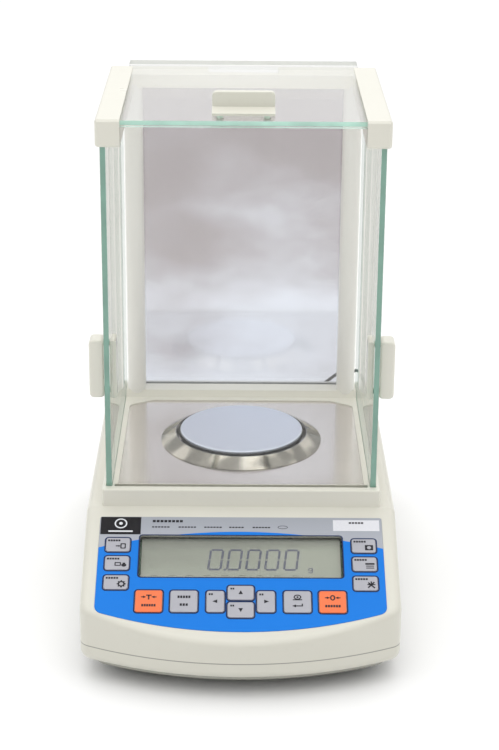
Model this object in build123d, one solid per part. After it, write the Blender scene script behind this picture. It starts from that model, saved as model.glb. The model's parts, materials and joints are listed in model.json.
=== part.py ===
from build123d import *
import math
import os

# Analytical balance with a glass draft shield.
# Millimetres. +X to the user's right, +Y to the rear, +Z up. The origin is
# on the bench, under the centre of the housing.

# ------------------------------------------------------------ driving sizes
# Draft shield
SHIELD_WIDTH = 185.4        # rails and frame, side to side
FRAME_DEPTH = 198.0         # shield frame, front to rear
FRAME_HEIGHT = 12.0         # shield frame above the housing's deck
CHAMBER_HEIGHT = 232.3      # frame top to the underside of the rails
RAIL_WIDTH = 15.5
RAIL_HEIGHT = 17.7
RAIL_SETBACK = 2.0          # rails' front behind the frame's front
REAR_BAY = 34.0             # frame behind the rails, for columns and rear pane
GLASS = 3.5                 # lid, front and rear panes
DOOR_GLASS = 4.0            # side doors
DOOR_INSET = 2.5            # door's outer face in from the rail's side
TRACK_CLEARANCE = 0.3       # between sliding glass and its track, each side
DOOR_TOP_DEPTH = 5.5        # track depth in the rails
DOOR_FOOT_DEPTH = 3.5       # track depth in the frame
LID_GRIP = 3.4              # lid's edge inside each rail
LID_LIP = 1.2               # rail above the lid's groove
COLUMN_RADIUS = 6.7
COLUMN_FIT = 0.02           # around a column in its seats
CROSSBEAM_HEIGHT = 9.5
TONGUE = 12.0               # crossbeam's tongues inside the rails
TONGUE_HALF = 2.9           # half of a tongue's width
NOTCH_HALF = 25.0           # half of the notch in the crossbeam's top
NOTCH_DEPTH = 4.0
PANE_SEAT = 2.2             # fixed panes' edges in their seats
SEAT_GAP = 0.1              # around a piece in its seat
SHELF_RISE = 4.5            # rear shelf above the frame
SHELF_LIP = 2.5             # rear shelf behind the rear pane
FLOOR_SHEET = 1.0
FLOOR_DROP = 0.7            # floor plate's top below the frame's top
FLOOR_CUT = (17.0, 10.0)    # floor's rear corners, across and along
FLOOR_CORNER = 6.0

# Housing
SIDE_DECK = 10.3            # housing beside the frame, each side
REAR_DECK = 32.0            # housing behind the frame
FASCIA_HEIGHT = 13.5        # upright front below the control slope
SLOPE_RISE = 48.0
SLOPE_ANGLE = 25.0          # degrees
FRONT_RADIUS = 218.0        # bowed front, in plan
TRAY_HEIGHT = 12.0          # lower housing
WALL = 2.5
PLATE = 4.0                 # base plate
PLATE_INSET = 8.0
FRONT_CORNER = 10.0
REAR_CORNER = 20.0
EDGE_ROUND = 5.0            # upper housing's rounded edges
TRAY_ROUND = 7.0
POST_RADIUS = 4.5           # posts that the housing screws hold
SCREW_RADIUS = 1.5
SCREW_HEAD_RADIUS = 3.2
SCREW_HEAD = 2.0
HOLE_GAP = 0.3              # around a screw in its clearance hole

# Levelling feet
FOOT_HEIGHT = 9.0
FOOT_RADIUS = 14.0
STUD_RADIUS = 3.0
STUD_LENGTH = 14.0          # above the foot's disc
THREAD_CLEARANCE = 0.1
BOSS_RADIUS = STUD_RADIUS + 3.5
BOSS_HEIGHT = 6.0
GRIP_NOTCHES = 12           # around each foot's disc
NOTCH_RADIUS = 2.0

# Weighing pan
PAN_RADIUS = 43.5
PAN_SHEET = 1.5
PAN_RIM = 5.0
PAN_ABOVE_FLOOR = 8.7       # pan's top above the floor plate
PAN_BACK = 4.0              # pan's centre behind the floor's middle
RING_CLEARANCE = 2.5        # between the pan and the wind ring
RING_WIDTH = 10.5
RING_HEIGHT = 6.2
RING_EDGE = 0.6             # flat at the ring's foot and at its mouth
RING_LIP = 2.5              # depth of the ring's turned-down mouth
SPINDLE_RADIUS = 5.0
CARRIER_PIN = 4.5           # spindle's top, inside the pan's boss
CARRIER_PIN_HEIGHT = 4.0
FLANGE_DROP = 7.0           # carrier's flange below the pan's top
DRAUGHT = 0.05              # play of a piece that is only set down

# Weigh cell
CELL_HALF_X = 34.0
CELL_AHEAD = 45.0           # cell's front ahead of the pan's centre
CELL_BEHIND = 70.0
CELL_HEIGHT = 42.0
CELL_BOLT_INSET = (8.0, 10.0)
TRAY_HOLE = 4.0             # opening in the tray around the weigh cell
GUIDE_SLOT = 1.2            # half of a guide slot's height
MAGNET_RADIUS = 19.8
MAGNET_BORE = 20.0
MAGNET_DEPTH = 30.0
MAGNET_INSET = 26.0         # magnet's axis ahead of the cell's rear
MAGNET_DROP = 4.0           # magnet pot's top below the cell's
GAP_DEPTH = 20.0            # magnet's ring gap, down from the cell's top
GAP_OUTER = 14.0
GAP_INNER = 9.0
VOICE_OUTER = 12.5          # moving coil in the gap
VOICE_INNER = 10.5
VOICE_LENGTH = 19.0
GUIDE_HEIGHTS = (14.0, 30.0)    # guide slots above the cell's base
GUIDE_REACH = 20.0          # guide slots' ends behind the pan's centre
BEAM_HALF_WIDTH = 5.0
BEAM_THICKNESS = 5.5

# Controls
OVERLAY = 0.8
OVERLAY_RECESS = 0.5
OVERLAY_MARGIN = 9.8        # overlay's sides in from the housing's
KEY_GAP = 0.3
KEY_RISE = 0.5
KEY_TRAVEL = 0.4
KEY_STEM = 2.0
KEY_CORNER = 1.6
SIDE_KEY = (15.4, 11.2)
SIDE_KEY_INSET = 12.7       # side keys' centres in from the overlay's sides
SIDE_KEY_UP = (80.0, 64.8, 49.0)
LOWER_KEY_UP = 34.0
LOWER_KEYS = (("tare", 58.8, 17.2, 17.2), ("menu", 36.3, 17.2, 17.0), ("arrow", 16.2, 11.2, 16.8))
CENTRE_KEYS = (("up", 41.0, 16.5, 11.2), ("down", 27.4, 16.5, 12.0))
WINDOW_GAP = 5.8            # between the window and the side keys
WINDOW_HEIGHT = 35.8
WINDOW_CENTRE = 71.0        # up the slope
WINDOW_CORNER = 2.5
OVERLAY_TOP = 104.0         # up the slope
OVERLAY_BOTTOM = 10.5
OVERLAY_CORNER = 6.0        # lower corners
OVERLAY_BOW = 15.5          # bottom edge's rise from middle to sides
BOARD = 1.6
BOARD_DEPTH = 8.4           # key board's lower face below the slope
KEY_BOARD_HEIGHT = 70.0
KEY_BOARD_FOOT = 20.0       # key board's lower edge up the slope
KEY_BOARD_CORNER = 14.0
LCD_DEPTH = 4.0

# Rear sockets and bubble level
PORT_ABOVE_PARTING = 25.0
PORT_DEPTH = 11.0
PORT_PITCH = 36.0           # between the two serial sockets
PORT_EDGE = 39.0            # outer serial socket in from the housing's side
PORT_GAP = 0.2              # around a socket in the rear wall
SERIAL_SIZE = (31.0, 12.5)
USB_SIZE = (14.0, 7.0)
USB_OFFSET = 30.0           # from the inner serial socket
INLET_OFFSET = 27.0         # from the data socket
INLET_RADIUS = 5.5
INLET_BORE = 2.85
INLET_PIN = 1.0
VIAL_EDGE = 41.0            # bubble level in from the housing's side
VIAL_RADIUS = 8.5
VIAL_DEPTH = 7.0

# Grips
GRIP_HEIGHT = 40.0
GRIP_DEPTH = 14.0
OUTER_GRIP = 10.0
INNER_GRIP = 4.0
GRIP_ABOVE_FRAME = 61.5
LID_GRIP_WIDTH = 40.0
LID_GRIP_HEIGHT = 13.5
LID_GRIP_TREAD = 9.0        # flat foot ahead of the lid grip's upright
LID_GRIP_DEPTH = 15.0
LID_GRIP_BACK = 13.0        # lid grip's front behind the lid's front edge
GRIP_SCREW_RADIUS = 1.5
GRIP_SCREW_END = 3.5        # grip screws in from the grip's ends
GRIP_SCREW_DEPTH = 6.0      # grip screws into the outer grip
GRIP_SCREW_HEAD = 1.6

# Power cord, from its angled plug to the adapter behind the housing
CORD_RADIUS = 1.25
PLUG_BARREL = 2.75
PLUG_HEAD = 5.5
PLUG_OUT = 8.0              # middle of the plug's head behind the housing
RELIEF_LENGTH = 19.0
RELIEF_ANGLE = math.radians(45.0)
COIL_CENTRE = (20.0, 240.0)
COIL_IN = 8.0
COIL_OUT = 20.0
COIL_HEIGHT = 10.5
COIL_TURN = 18.5            # radius of the outermost turn
ADAPTER_SIZE = (56.0, 38.0, 29.0)
ADAPTER_RELIEF = 20.0
ADAPTER_REACH = 10.0        # adapter's relief ends this far beside the coil's centre
ADAPTER_MOUTH = 8.0         # height of the adapter's relief
PRONG_PITCH = 19.0
PRONG_RADIUS = 2.0
PRONG_LENGTH = 19.0

# ------------------------------------------------------------- derived sizes
SLOPE = math.radians(SLOPE_ANGLE)
SLOPE_RUN = SLOPE_RISE / math.tan(SLOPE)
SLOPE_LENGTH = SLOPE_RISE / math.sin(SLOPE)
BODY_WIDTH = SHIELD_WIDTH + 2 * SIDE_DECK
BODY_DEPTH = SLOPE_RUN + FRAME_DEPTH + REAR_DECK
HALF_WIDTH = BODY_WIDTH / 2
FRONT_Y = -BODY_DEPTH / 2
REAR_Y = BODY_DEPTH / 2

PLATE_Z = FOOT_HEIGHT
TRAY_Z = PLATE_Z + PLATE
PARTING_Z = TRAY_Z + TRAY_HEIGHT
SLOPE_Z = PARTING_Z + FASCIA_HEIGHT
DECK_Z = SLOPE_Z + SLOPE_RISE
FRAME_Z = DECK_Z + FRAME_HEIGHT
RAIL_Z = FRAME_Z + CHAMBER_HEIGHT
TOP_Z = RAIL_Z + RAIL_HEIGHT

FRAME_FRONT = FRONT_Y + SLOPE_RUN
FRAME_REAR = FRAME_FRONT + FRAME_DEPTH
RAIL_FRONT = FRAME_FRONT + RAIL_SETBACK
RAIL_REAR = FRAME_REAR - REAR_BAY
RAIL_OUT = SHIELD_WIDTH / 2
RAIL_IN = RAIL_OUT - RAIL_WIDTH

DOOR_OUT = RAIL_OUT - DOOR_INSET
DOOR_IN = DOOR_OUT - DOOR_GLASS
TRACK_OUT = DOOR_OUT + TRACK_CLEARANCE
TRACK_IN = DOOR_IN - TRACK_CLEARANCE
DOOR_FRONT = RAIL_FRONT + 4.0
DOOR_REAR = FRAME_REAR - 4.5
DOOR_BOTTOM = FRAME_Z - DOOR_FOOT_DEPTH + TRACK_CLEARANCE
DOOR_TOP = RAIL_Z + DOOR_TOP_DEPTH - 2 * TRACK_CLEARANCE
GRIP_Z = FRAME_Z + GRIP_ABOVE_FRAME
GRIP_FRONT = DOOR_FRONT + 4.0

LID_TOP = TOP_Z - LID_LIP - TRACK_CLEARANCE
LID_Z = LID_TOP - GLASS
LID_FRONT = RAIL_FRONT + 6.0
LID_REAR = DOOR_REAR
LID_HALF = RAIL_IN + LID_GRIP

FLOOR_Z = FRAME_Z - FLOOR_DROP
FLOOR_FRONT = RAIL_FRONT + 8.0
FLOOR_REAR = RAIL_REAR - 2.0
FLOOR_HALF = TRACK_IN - 3.6
SHELF_Z = FRAME_Z + SHELF_RISE
COLUMN_Y = RAIL_REAR + 12.0
COLUMN_X = TRACK_IN - COLUMN_RADIUS - 1.2
BEAM_FRONT = RAIL_REAR + 6.0
BEAM_REAR = FRAME_REAR
BEAM_HALF = TRACK_IN - 1.4
BEAM_Z = RAIL_Z + 1.2
TONGUE_X = (RAIL_IN + TRACK_IN) / 2
REAR_PANE_Y = COLUMN_Y + COLUMN_RADIUS + 1.5
SHELF_REAR = REAR_PANE_Y + GLASS + SHELF_LIP
FRONT_PANE_Y = RAIL_FRONT + 3.5
PANE_HALF = TRACK_IN - 1.5

PAN_Y = (FLOOR_FRONT + FLOOR_REAR) / 2 + PAN_BACK
PAN_Z = FLOOR_Z + PAN_ABOVE_FLOOR
FLANGE_Z = PAN_Z - FLANGE_DROP
RING_MOUTH = PAN_RADIUS + RING_CLEARANCE
RING_RADIUS = RING_MOUTH + RING_WIDTH

CELL_FRONT = PAN_Y - CELL_AHEAD
CELL_REAR = PAN_Y + CELL_BEHIND
CELL_TOP = TRAY_Z + CELL_HEIGHT
CELL_BOLT_X = CELL_HALF_X - CELL_BOLT_INSET[0]
CELL_BOLT_Y = (CELL_FRONT + CELL_BOLT_INSET[1], CELL_REAR - CELL_BOLT_INSET[1])
MAGNET_Y = CELL_REAR - MAGNET_INSET

OVERLAY_HALF = HALF_WIDTH - OVERLAY_MARGIN
SIDE_KEY_X = OVERLAY_HALF - SIDE_KEY_INSET
WINDOW_SIZE = (2 * (SIDE_KEY_X - WINDOW_GAP) - SIDE_KEY[0], WINDOW_HEIGHT)
OVERLAY_HIGH = OVERLAY - OVERLAY_RECESS
KEY_LOW = KEY_TRAVEL + SEAT_GAP - OVERLAY_RECESS
KEY_HIGH = OVERLAY_HIGH + KEY_RISE

PORT_Z = PARTING_Z + PORT_ABOVE_PARTING
SERIAL_X = (PORT_EDGE - HALF_WIDTH, PORT_EDGE + PORT_PITCH - HALF_WIDTH)
USB_X = SERIAL_X[1] + USB_OFFSET
INLET_X = USB_X + INLET_OFFSET
VIAL_X = HALF_WIDTH - VIAL_EDGE
VIAL_Y = FRAME_REAR + REAR_DECK / 2

FOOT_X = HALF_WIDTH - 33.0
FOOT_FRONT_Y = FRONT_Y + 54.0
FOOT_REAR_Y = REAR_Y - 48.0
POST_X = HALF_WIDTH - 23.0
POST_FRONT_Y = FRAME_FRONT - 8.0
POST_REAR_Y = REAR_Y - 24.0

PLUG_Y = REAR_Y + PLUG_OUT
EXIT = (INLET_X + (PLUG_HEAD + RELIEF_LENGTH) * math.cos(RELIEF_ANGLE), PLUG_Y,
        PORT_Z + (PLUG_HEAD + RELIEF_LENGTH) * math.sin(RELIEF_ANGLE))
CORD_ROUTE = [
    EXIT,
    (51.4, 174.5, 72.6),
    (59.4, 174.9, 78.4),
    (67.4, 175.4, 84.4),
    (77.0, 176.4, 91.8),
    (84.5, 178.5, 93.1),
    (91.4, 181.5, 90.4),
    (95.8, 184.5, 84.6),
    (99.2, 187.0, 73.5),
    (98.6, 191.5, 54.0),
    (95.0, 199.5, 28.0),
    (88.0, 210.0, 8.5),
    (77.0, 219.5, 1.9),
    (63.5, 224.0, 1.3),
    (50.0, 224.4, 1.3),
    (39.5, 222.2, 1.3),
    (29.5, 221.6, 1.3),
]

PARTS = {}


def keep(name, *solids):
    """Name a finished piece, or a group of like pieces."""
    PARTS[name] = solids[0] if len(solids) == 1 else Compound(children=list(solids))


def block(x, y, z):
    """Box from its (low, high) pair along each axis."""
    size = [high - low for low, high in (x, y, z)]
    middle = [(high + low) / 2 for low, high in (x, y, z)]
    return Pos(*middle) * Box(*size)


def post(x, y, z, radius):
    """Upright cylinder between two heights."""
    return Pos(x, y, (z[0] + z[1]) / 2) * Cylinder(radius, z[1] - z[0])


def rounded_block(x, y, z, radius, axis):
    """Box whose four edges along one axis are rounded."""
    shape = block(x, y, z)
    return fillet(shape.edges().filter_by(axis), radius)


def plan(inset, corner=0.0):
    """Outline of the housing from above, drawn in by an inset."""
    half = HALF_WIDTH - inset
    radius = FRONT_RADIUS - inset
    front = FRONT_Y + inset
    rear = REAR_Y - inset
    shoulder = front + radius - math.sqrt(radius ** 2 - half ** 2)
    arc = ThreePointArc((-half, shoulder), (0, front), (half, shoulder))
    rest = Polyline((half, shoulder), (half, rear), (-half, rear), (-half, shoulder))
    face = make_face(arc + rest)
    front_corners = face.vertices().sort_by(Axis.Y)[:2]
    face = fillet(front_corners, FRONT_CORNER + corner - inset / 2)
    rear_corners = face.vertices().sort_by(Axis.Y)[-2:]
    return fillet(rear_corners, REAR_CORNER - inset)


def slope_plane(offset=0.0):
    """Plane of the control slope: x across, y up the slope, z outward."""
    normal = Vector(0, -math.sin(SLOPE), math.cos(SLOPE))
    origin = Vector(0, FRONT_Y, SLOPE_Z) + normal * offset
    return Plane(origin=origin, x_dir=(1, 0, 0), z_dir=normal)


def on_slope(x, up, offset, shape):
    """Set a shape on the slope at a place and height above it."""
    return slope_plane() * Pos(x, up, offset) * shape


def cylinder_along(axis_plane, radius, length):
    """Cylinder that starts on a plane and grows along its normal."""
    return axis_plane * Pos(0, 0, length / 2) * Cylinder(radius, length)


# ------------------------------------------------------------------- housing
def housing_solid(inset, bottom):
    """Upper housing's form: bowed fascia, slope and deck."""
    top = DECK_Z - inset
    shape = extrude(Pos(0, 0, bottom) * plan(inset), top - bottom)
    above = slope_plane(-inset) * Pos(0, 0, HALF_WIDTH) * Box(
        2 * BODY_WIDTH, 2 * SLOPE_LENGTH + 8 * WALL, BODY_WIDTH)
    shape -= above
    radius = EDGE_ROUND - inset
    tilted = shape.faces().sort_by(Axis.Z).filter_by(
        lambda face: 0.5 < face.normal_at().Z < 0.999)
    deck = shape.faces().sort_by(Axis.Z)[-1]
    ridge = [edge for edge in deck.edges()
             if abs(edge.center().Y - FRAME_FRONT) < 5.0 and edge.length > HALF_WIDTH]
    rim = [edge for face in [deck] + list(tilted) for edge in face.edges()]
    rim = [edge for edge in rim if all(edge.center() != other.center() for other in ridge)]
    return fillet(rim, radius)


def key_layout():
    """Every key's name, place on the slope and size."""
    keys = []
    for side, sign in (("left", -1), ("right", 1)):
        for number, up in enumerate(SIDE_KEY_UP, start=1):
            keys.append((f"key_{side}_{number}", sign * SIDE_KEY_X, up, *SIDE_KEY))
        for kind, x, width, height in LOWER_KEYS:
            keys.append((f"key_{side}_{kind}", sign * x, LOWER_KEY_UP, width, height))
    for kind, up, width, height in CENTRE_KEYS:
        keys.append((f"key_{kind}_arrow", 0.0, up, width, height))
    return keys


def overlay_outline(grow):
    """Control foil's outline: straight top, bowed bottom."""
    half = OVERLAY_HALF + grow
    low = OVERLAY_BOTTOM - grow
    side = OVERLAY_BOTTOM + OVERLAY_BOW
    arc = ThreePointArc((-half, side), (0, low), (half, side))
    rest = Polyline((half, side), (half, OVERLAY_TOP + grow),
                    (-half, OVERLAY_TOP + grow), (-half, side))
    face = make_face(arc + rest)
    low_corners = face.vertices().sort_by(Axis.Y)[:2]
    face = fillet(low_corners, OVERLAY_CORNER + grow)
    high_corners = face.vertices().sort_by(Axis.Y)[-2:]
    return fillet(high_corners, 1.5 + grow)


def key_face(width, height, grow):
    """Key's outline, grown all round by a gap."""
    return RectangleRounded(width + 2 * grow, height + 2 * grow, KEY_CORNER + grow)


def window_face(grow):
    """Display window's outline, grown all round by a gap."""
    width, height = WINDOW_SIZE
    return RectangleRounded(width + 2 * grow, height + 2 * grow, WINDOW_CORNER + grow)


def slope_prism(face, low, high):
    """Push a face drawn on the slope through a range of heights."""
    return extrude(slope_plane() * Pos(0, 0, low) * face, amount=high - low,
                   dir=Vector(0, -math.sin(SLOPE), math.cos(SLOPE)))


def port_prism(x, size, y, grow):
    """Rectangular port body through the rear wall."""
    half_x = size[0] / 2 + grow
    half_z = size[1] / 2 + grow
    return block((x - half_x, x + half_x), y, (PORT_Z - half_z, PORT_Z + half_z))


def inlet_cylinder(radius, y):
    """Cylinder along +Y at the power inlet."""
    return cylinder_along(Plane((INLET_X, y[0], PORT_Z), z_dir=(0, 1, 0)), radius, y[1] - y[0])


def make_upper_housing():
    """Upper shell with the openings for controls, spindle and ports."""
    outer = housing_solid(0.0, PARTING_Z)
    shell = outer - housing_solid(WALL, PARTING_Z - WALL)
    posts = [post(sign * POST_X, y, (PARTING_Z, DECK_Z), POST_RADIUS)
             for sign in (-1, 1) for y in (POST_FRONT_Y, POST_REAR_Y)]
    for pillar in posts:
        shell += pillar & outer
    shell -= slope_prism(overlay_outline(KEY_GAP / 2), -OVERLAY_RECESS, WALL)
    shell -= slope_prism(Pos(0, WINDOW_CENTRE) * window_face(2 * SEAT_GAP), -2 * WALL, WALL)
    for _, x, up, _, _ in key_layout():
        shell -= on_slope(x, up, -WALL, Cylinder(KEY_STEM + KEY_GAP, 4 * WALL))
    shell -= post(0, PAN_Y, (DECK_Z - 2 * WALL, DECK_Z + 1), SPINDLE_RADIUS + 4.0)
    for x in SERIAL_X:
        shell -= port_prism(x, SERIAL_SIZE, (REAR_Y - 2 * WALL, REAR_Y + 1), PORT_GAP)
    shell -= port_prism(USB_X, USB_SIZE, (REAR_Y - 2 * WALL, REAR_Y + 1), PORT_GAP)
    shell -= inlet_cylinder(INLET_RADIUS + SEAT_GAP, (REAR_Y - 2 * WALL, REAR_Y + 1))
    shell -= post(VIAL_X, VIAL_Y, (DECK_Z - 2 * WALL, DECK_Z + 1), VIAL_RADIUS + SEAT_GAP)
    for sign in (-1, 1):
        for y in (POST_FRONT_Y, POST_REAR_Y):
            shell -= post(sign * POST_X, y, (PARTING_Z - 1, PARTING_Z + 16.0), SCREW_RADIUS)
    return shell


def make_lower_housing():
    """Tray that closes the housing from below, open over the weigh cell."""
    outer = extrude(Pos(0, 0, TRAY_Z) * plan(0.0), TRAY_HEIGHT)
    outer = fillet(outer.faces().sort_by(Axis.Z)[0].edges(), TRAY_ROUND)
    inner = extrude(Pos(0, 0, TRAY_Z + WALL) * plan(WALL), TRAY_HEIGHT)
    inner = fillet(inner.faces().sort_by(Axis.Z)[0].edges(), TRAY_ROUND - WALL)
    tray = outer - inner
    for sign in (-1, 1):
        for y in (POST_FRONT_Y, POST_REAR_Y):
            tray += post(sign * POST_X, y, (TRAY_Z + WALL, PARTING_Z), POST_RADIUS)
            tray -= post(sign * POST_X, y, (TRAY_Z - 1, PARTING_Z + 1), SCREW_RADIUS + HOLE_GAP)
        for y in (FOOT_FRONT_Y, FOOT_REAR_Y):
            tray -= post(sign * FOOT_X, y, (TRAY_Z - 1, PARTING_Z), STUD_RADIUS + 4.0)
    tray -= block((-CELL_HALF_X - TRAY_HOLE, CELL_HALF_X + TRAY_HOLE),
                  (CELL_FRONT - TRAY_HOLE, CELL_REAR + TRAY_HOLE), (TRAY_Z - 1, PARTING_Z))
    return tray


def make_base_plate():
    """Plate with threaded bosses for the feet and holes for the screws."""
    plate = extrude(Pos(0, 0, PLATE_Z) * plan(PLATE_INSET, 8.0), PLATE)
    plate = chamfer(plate.faces().sort_by(Axis.Z)[0].edges(), 0.8)
    for sign in (-1, 1):
        for y in (FOOT_FRONT_Y, FOOT_REAR_Y):
            plate += post(sign * FOOT_X, y, (PLATE_Z, TRAY_Z + BOSS_HEIGHT), BOSS_RADIUS)
            plate -= post(sign * FOOT_X, y, (0, PARTING_Z), STUD_RADIUS + THREAD_CLEARANCE)
        for y in (POST_FRONT_Y, POST_REAR_Y):
            plate -= post(sign * POST_X, y, (0, PARTING_Z), SCREW_RADIUS + HOLE_GAP)
            plate -= post(sign * POST_X, y, (0, PLATE_Z + SCREW_HEAD + HOLE_GAP),
                          SCREW_HEAD_RADIUS + HOLE_GAP)
        for y in CELL_BOLT_Y:
            plate -= post(sign * CELL_BOLT_X, y, (0, PARTING_Z), SCREW_RADIUS + HOLE_GAP)
            plate -= post(sign * CELL_BOLT_X, y, (0, PLATE_Z + SCREW_HEAD + HOLE_GAP),
                          SCREW_HEAD_RADIUS + HOLE_GAP)
    return plate


def make_screw(x, y, top):
    """Pan-head screw driven upward from the base plate's counterbore."""
    head_z = PLATE_Z + HOLE_GAP
    head = post(x, y, (head_z, head_z + SCREW_HEAD), SCREW_HEAD_RADIUS)
    slot = block((x - 0.4, x + 0.4), (y - 2.2, y + 2.2), (head_z - 1, head_z + 0.8))
    return head + post(x, y, (head_z + SCREW_HEAD, top), SCREW_RADIUS) - slot


def make_foot(x, y):
    """Levelling foot: knurled disc with a soft edge and its threaded stud."""
    disc = post(x, y, (0, FOOT_HEIGHT - 1.5), FOOT_RADIUS)
    disc = fillet(disc.faces().sort_by(Axis.Z)[0].edges(), 1.2)
    disc = fillet(disc.faces().sort_by(Axis.Z)[-1].edges(), 1.2)
    reach = FOOT_RADIUS + NOTCH_RADIUS / 2
    for number in range(GRIP_NOTCHES):
        angle = 2 * math.pi * number / GRIP_NOTCHES
        disc -= post(x + reach * math.cos(angle), y + reach * math.sin(angle),
                     (-1, FOOT_HEIGHT), NOTCH_RADIUS)
    return disc + post(x, y, (FOOT_HEIGHT - 2.0, FOOT_HEIGHT + STUD_LENGTH), STUD_RADIUS)


# ------------------------------------------------------------------ controls
def make_overlay():
    """Control foil with holes for the window and the keys."""
    foil = slope_prism(overlay_outline(0.0), -OVERLAY_RECESS, OVERLAY_HIGH)
    foil -= slope_prism(Pos(0, WINDOW_CENTRE) * window_face(SEAT_GAP), -WALL, WALL)
    for _, x, up, width, height in key_layout():
        foil -= slope_prism(Pos(x, up) * key_face(width, height, KEY_GAP), -WALL, WALL)
    return foil


def make_key(x, up, width, height):
    """Keycap with a soft edge and the stem that presses its switch."""
    cap = extrude(key_face(width, height, 0.0), KEY_HIGH - KEY_LOW)
    cap = fillet(cap.faces().sort_by(Axis.Z)[-1].edges(), 0.3)
    stem_end = BOARD - BOARD_DEPTH + KEY_TRAVEL + SEAT_GAP
    stem = Pos(0, 0, (stem_end + KEY_LOW) / 2) * Cylinder(KEY_STEM, KEY_LOW - stem_end)
    return on_slope(x, up, 0, Pos(0, 0, KEY_LOW) * cap + stem)


def make_key_board():
    """Board under the slope that carries the switches and the display."""
    width = 2 * OVERLAY_HALF - 8.0
    face = RectangleRounded(width, KEY_BOARD_HEIGHT, KEY_BOARD_CORNER)
    place = Pos(0, KEY_BOARD_HEIGHT / 2 + KEY_BOARD_FOOT)
    return slope_prism(place * face, -BOARD_DEPTH, BOARD - BOARD_DEPTH)


def make_window():
    """Clear display lens, flush with the foil, on a step behind the wall."""
    return slope_prism(Pos(0, WINDOW_CENTRE) * window_face(0.0), -WALL, OVERLAY_HIGH)


def make_lcd():
    """Display glass in its carrier, between lens and board."""
    face = Pos(0, WINDOW_CENTRE) * Rectangle(WINDOW_SIZE[0] - 4, WINDOW_SIZE[1] - 2)
    top = -WALL - 2 * SEAT_GAP
    return slope_prism(face, top - LCD_DEPTH, top)


# --------------------------------------------------------------- weigh cell
def make_cell_body():
    """Machined block with the parallel guides' slots and a magnet bore."""
    body = block((-CELL_HALF_X, CELL_HALF_X), (CELL_FRONT, CELL_REAR), (TRAY_Z, CELL_TOP))
    for height in GUIDE_HEIGHTS:
        z = TRAY_Z + height
        body -= block((-CELL_HALF_X - 1, CELL_HALF_X + 1), (CELL_FRONT + 8, PAN_Y + GUIDE_REACH),
                      (z - GUIDE_SLOT, z + GUIDE_SLOT))
    body -= post(0, MAGNET_Y, (CELL_TOP - MAGNET_DEPTH, CELL_TOP + 1), MAGNET_BORE)
    body -= post(0, PAN_Y, (CELL_TOP - 10.0, CELL_TOP + 1), SPINDLE_RADIUS)
    for sign in (-1, 1):
        for y in CELL_BOLT_Y:
            body -= post(sign * CELL_BOLT_X, y, (TRAY_Z - 1, TRAY_Z + 10.0), SCREW_RADIUS)
    return fillet(body.edges().filter_by(Axis.Z).group_by(Axis.Y)[0], 3.0)


def make_magnet():
    """Ring-gap magnet pot in the cell's rear bore."""
    gap_z = (CELL_TOP - GAP_DEPTH, CELL_TOP)
    pot = post(0, MAGNET_Y, (CELL_TOP - MAGNET_DEPTH, CELL_TOP - MAGNET_DROP), MAGNET_RADIUS)
    gap = post(0, MAGNET_Y, gap_z, GAP_OUTER) - post(0, MAGNET_Y, gap_z, GAP_INNER)
    return pot - gap


def make_coil():
    """Coil in the magnet's gap on the end of the balance beam."""
    top = CELL_TOP + 1.0
    coil = post(0, MAGNET_Y, (top - VOICE_LENGTH, top), VOICE_OUTER)
    coil -= post(0, MAGNET_Y, (top - VOICE_LENGTH - 1, top - 3.0), VOICE_INNER)
    beam = block((-BEAM_HALF_WIDTH, BEAM_HALF_WIDTH), (PAN_Y + 14.0, MAGNET_Y),
                 (CELL_TOP + 0.5, CELL_TOP + 0.5 + BEAM_THICKNESS))
    return coil + beam


def make_carrier():
    """Spindle from the cell up to the flange that the pan sits on."""
    shaft = post(0, PAN_Y, (CELL_TOP - 10.0, FLANGE_Z), SPINDLE_RADIUS)
    flange = post(0, PAN_Y, (FLANGE_Z - 1.5, FLANGE_Z), SPINDLE_RADIUS + 6.0)
    pin = post(0, PAN_Y, (FLANGE_Z, FLANGE_Z + CARRIER_PIN_HEIGHT), CARRIER_PIN)
    pin = chamfer(pin.faces().sort_by(Axis.Z)[-1].edges(), 0.8)
    shield_disc = post(0, PAN_Y, (CELL_TOP + 8.0, CELL_TOP + 10.0), SPINDLE_RADIUS + 5.0)
    return shaft + flange + pin + shield_disc


def make_pan():
    """Round sheet pan with a rolled-down rim and a boss under its centre."""
    disc = post(0, PAN_Y, (PAN_Z - PAN_RIM, PAN_Z), PAN_RADIUS)
    disc = fillet(disc.faces().sort_by(Axis.Z)[-1].edges(), 2.0)
    disc -= post(0, PAN_Y, (PAN_Z - PAN_RIM - 1, PAN_Z - PAN_SHEET), PAN_RADIUS - PAN_SHEET)
    disc += post(0, PAN_Y, (FLANGE_Z, PAN_Z - PAN_SHEET), CARRIER_PIN + 4.0)
    return disc - post(0, PAN_Y, (FLANGE_Z - 1, FLANGE_Z + CARRIER_PIN_HEIGHT + 0.4),
                       CARRIER_PIN + DRAUGHT)


def make_ring():
    """Conical wind ring that stands on the chamber's floor around the pan."""
    low, high = FLOOR_Z, FLOOR_Z + RING_HEIGHT
    outline = Polyline((RING_RADIUS, low), (RING_RADIUS, low + RING_EDGE),
                       (RING_MOUTH + RING_EDGE, high), (RING_MOUTH, high),
                       (RING_MOUTH, high - RING_LIP), (RING_MOUTH + 1.0, high - RING_LIP),
                       (RING_RADIUS - 2.0, low), close=True)
    return Pos(0, PAN_Y, 0) * revolve(Plane.XZ * make_face(outline), Axis.Z)


def make_calibration_weight():
    """Internal weight that is lowered onto the beam to adjust the balance."""
    y = PAN_Y - 14.0
    return rounded_block((-26.0, 26.0), (y - 8.0, y + 3.0), (CELL_TOP + 4.0, CELL_TOP + 15.0),
                         3.0, Axis.X)


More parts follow.
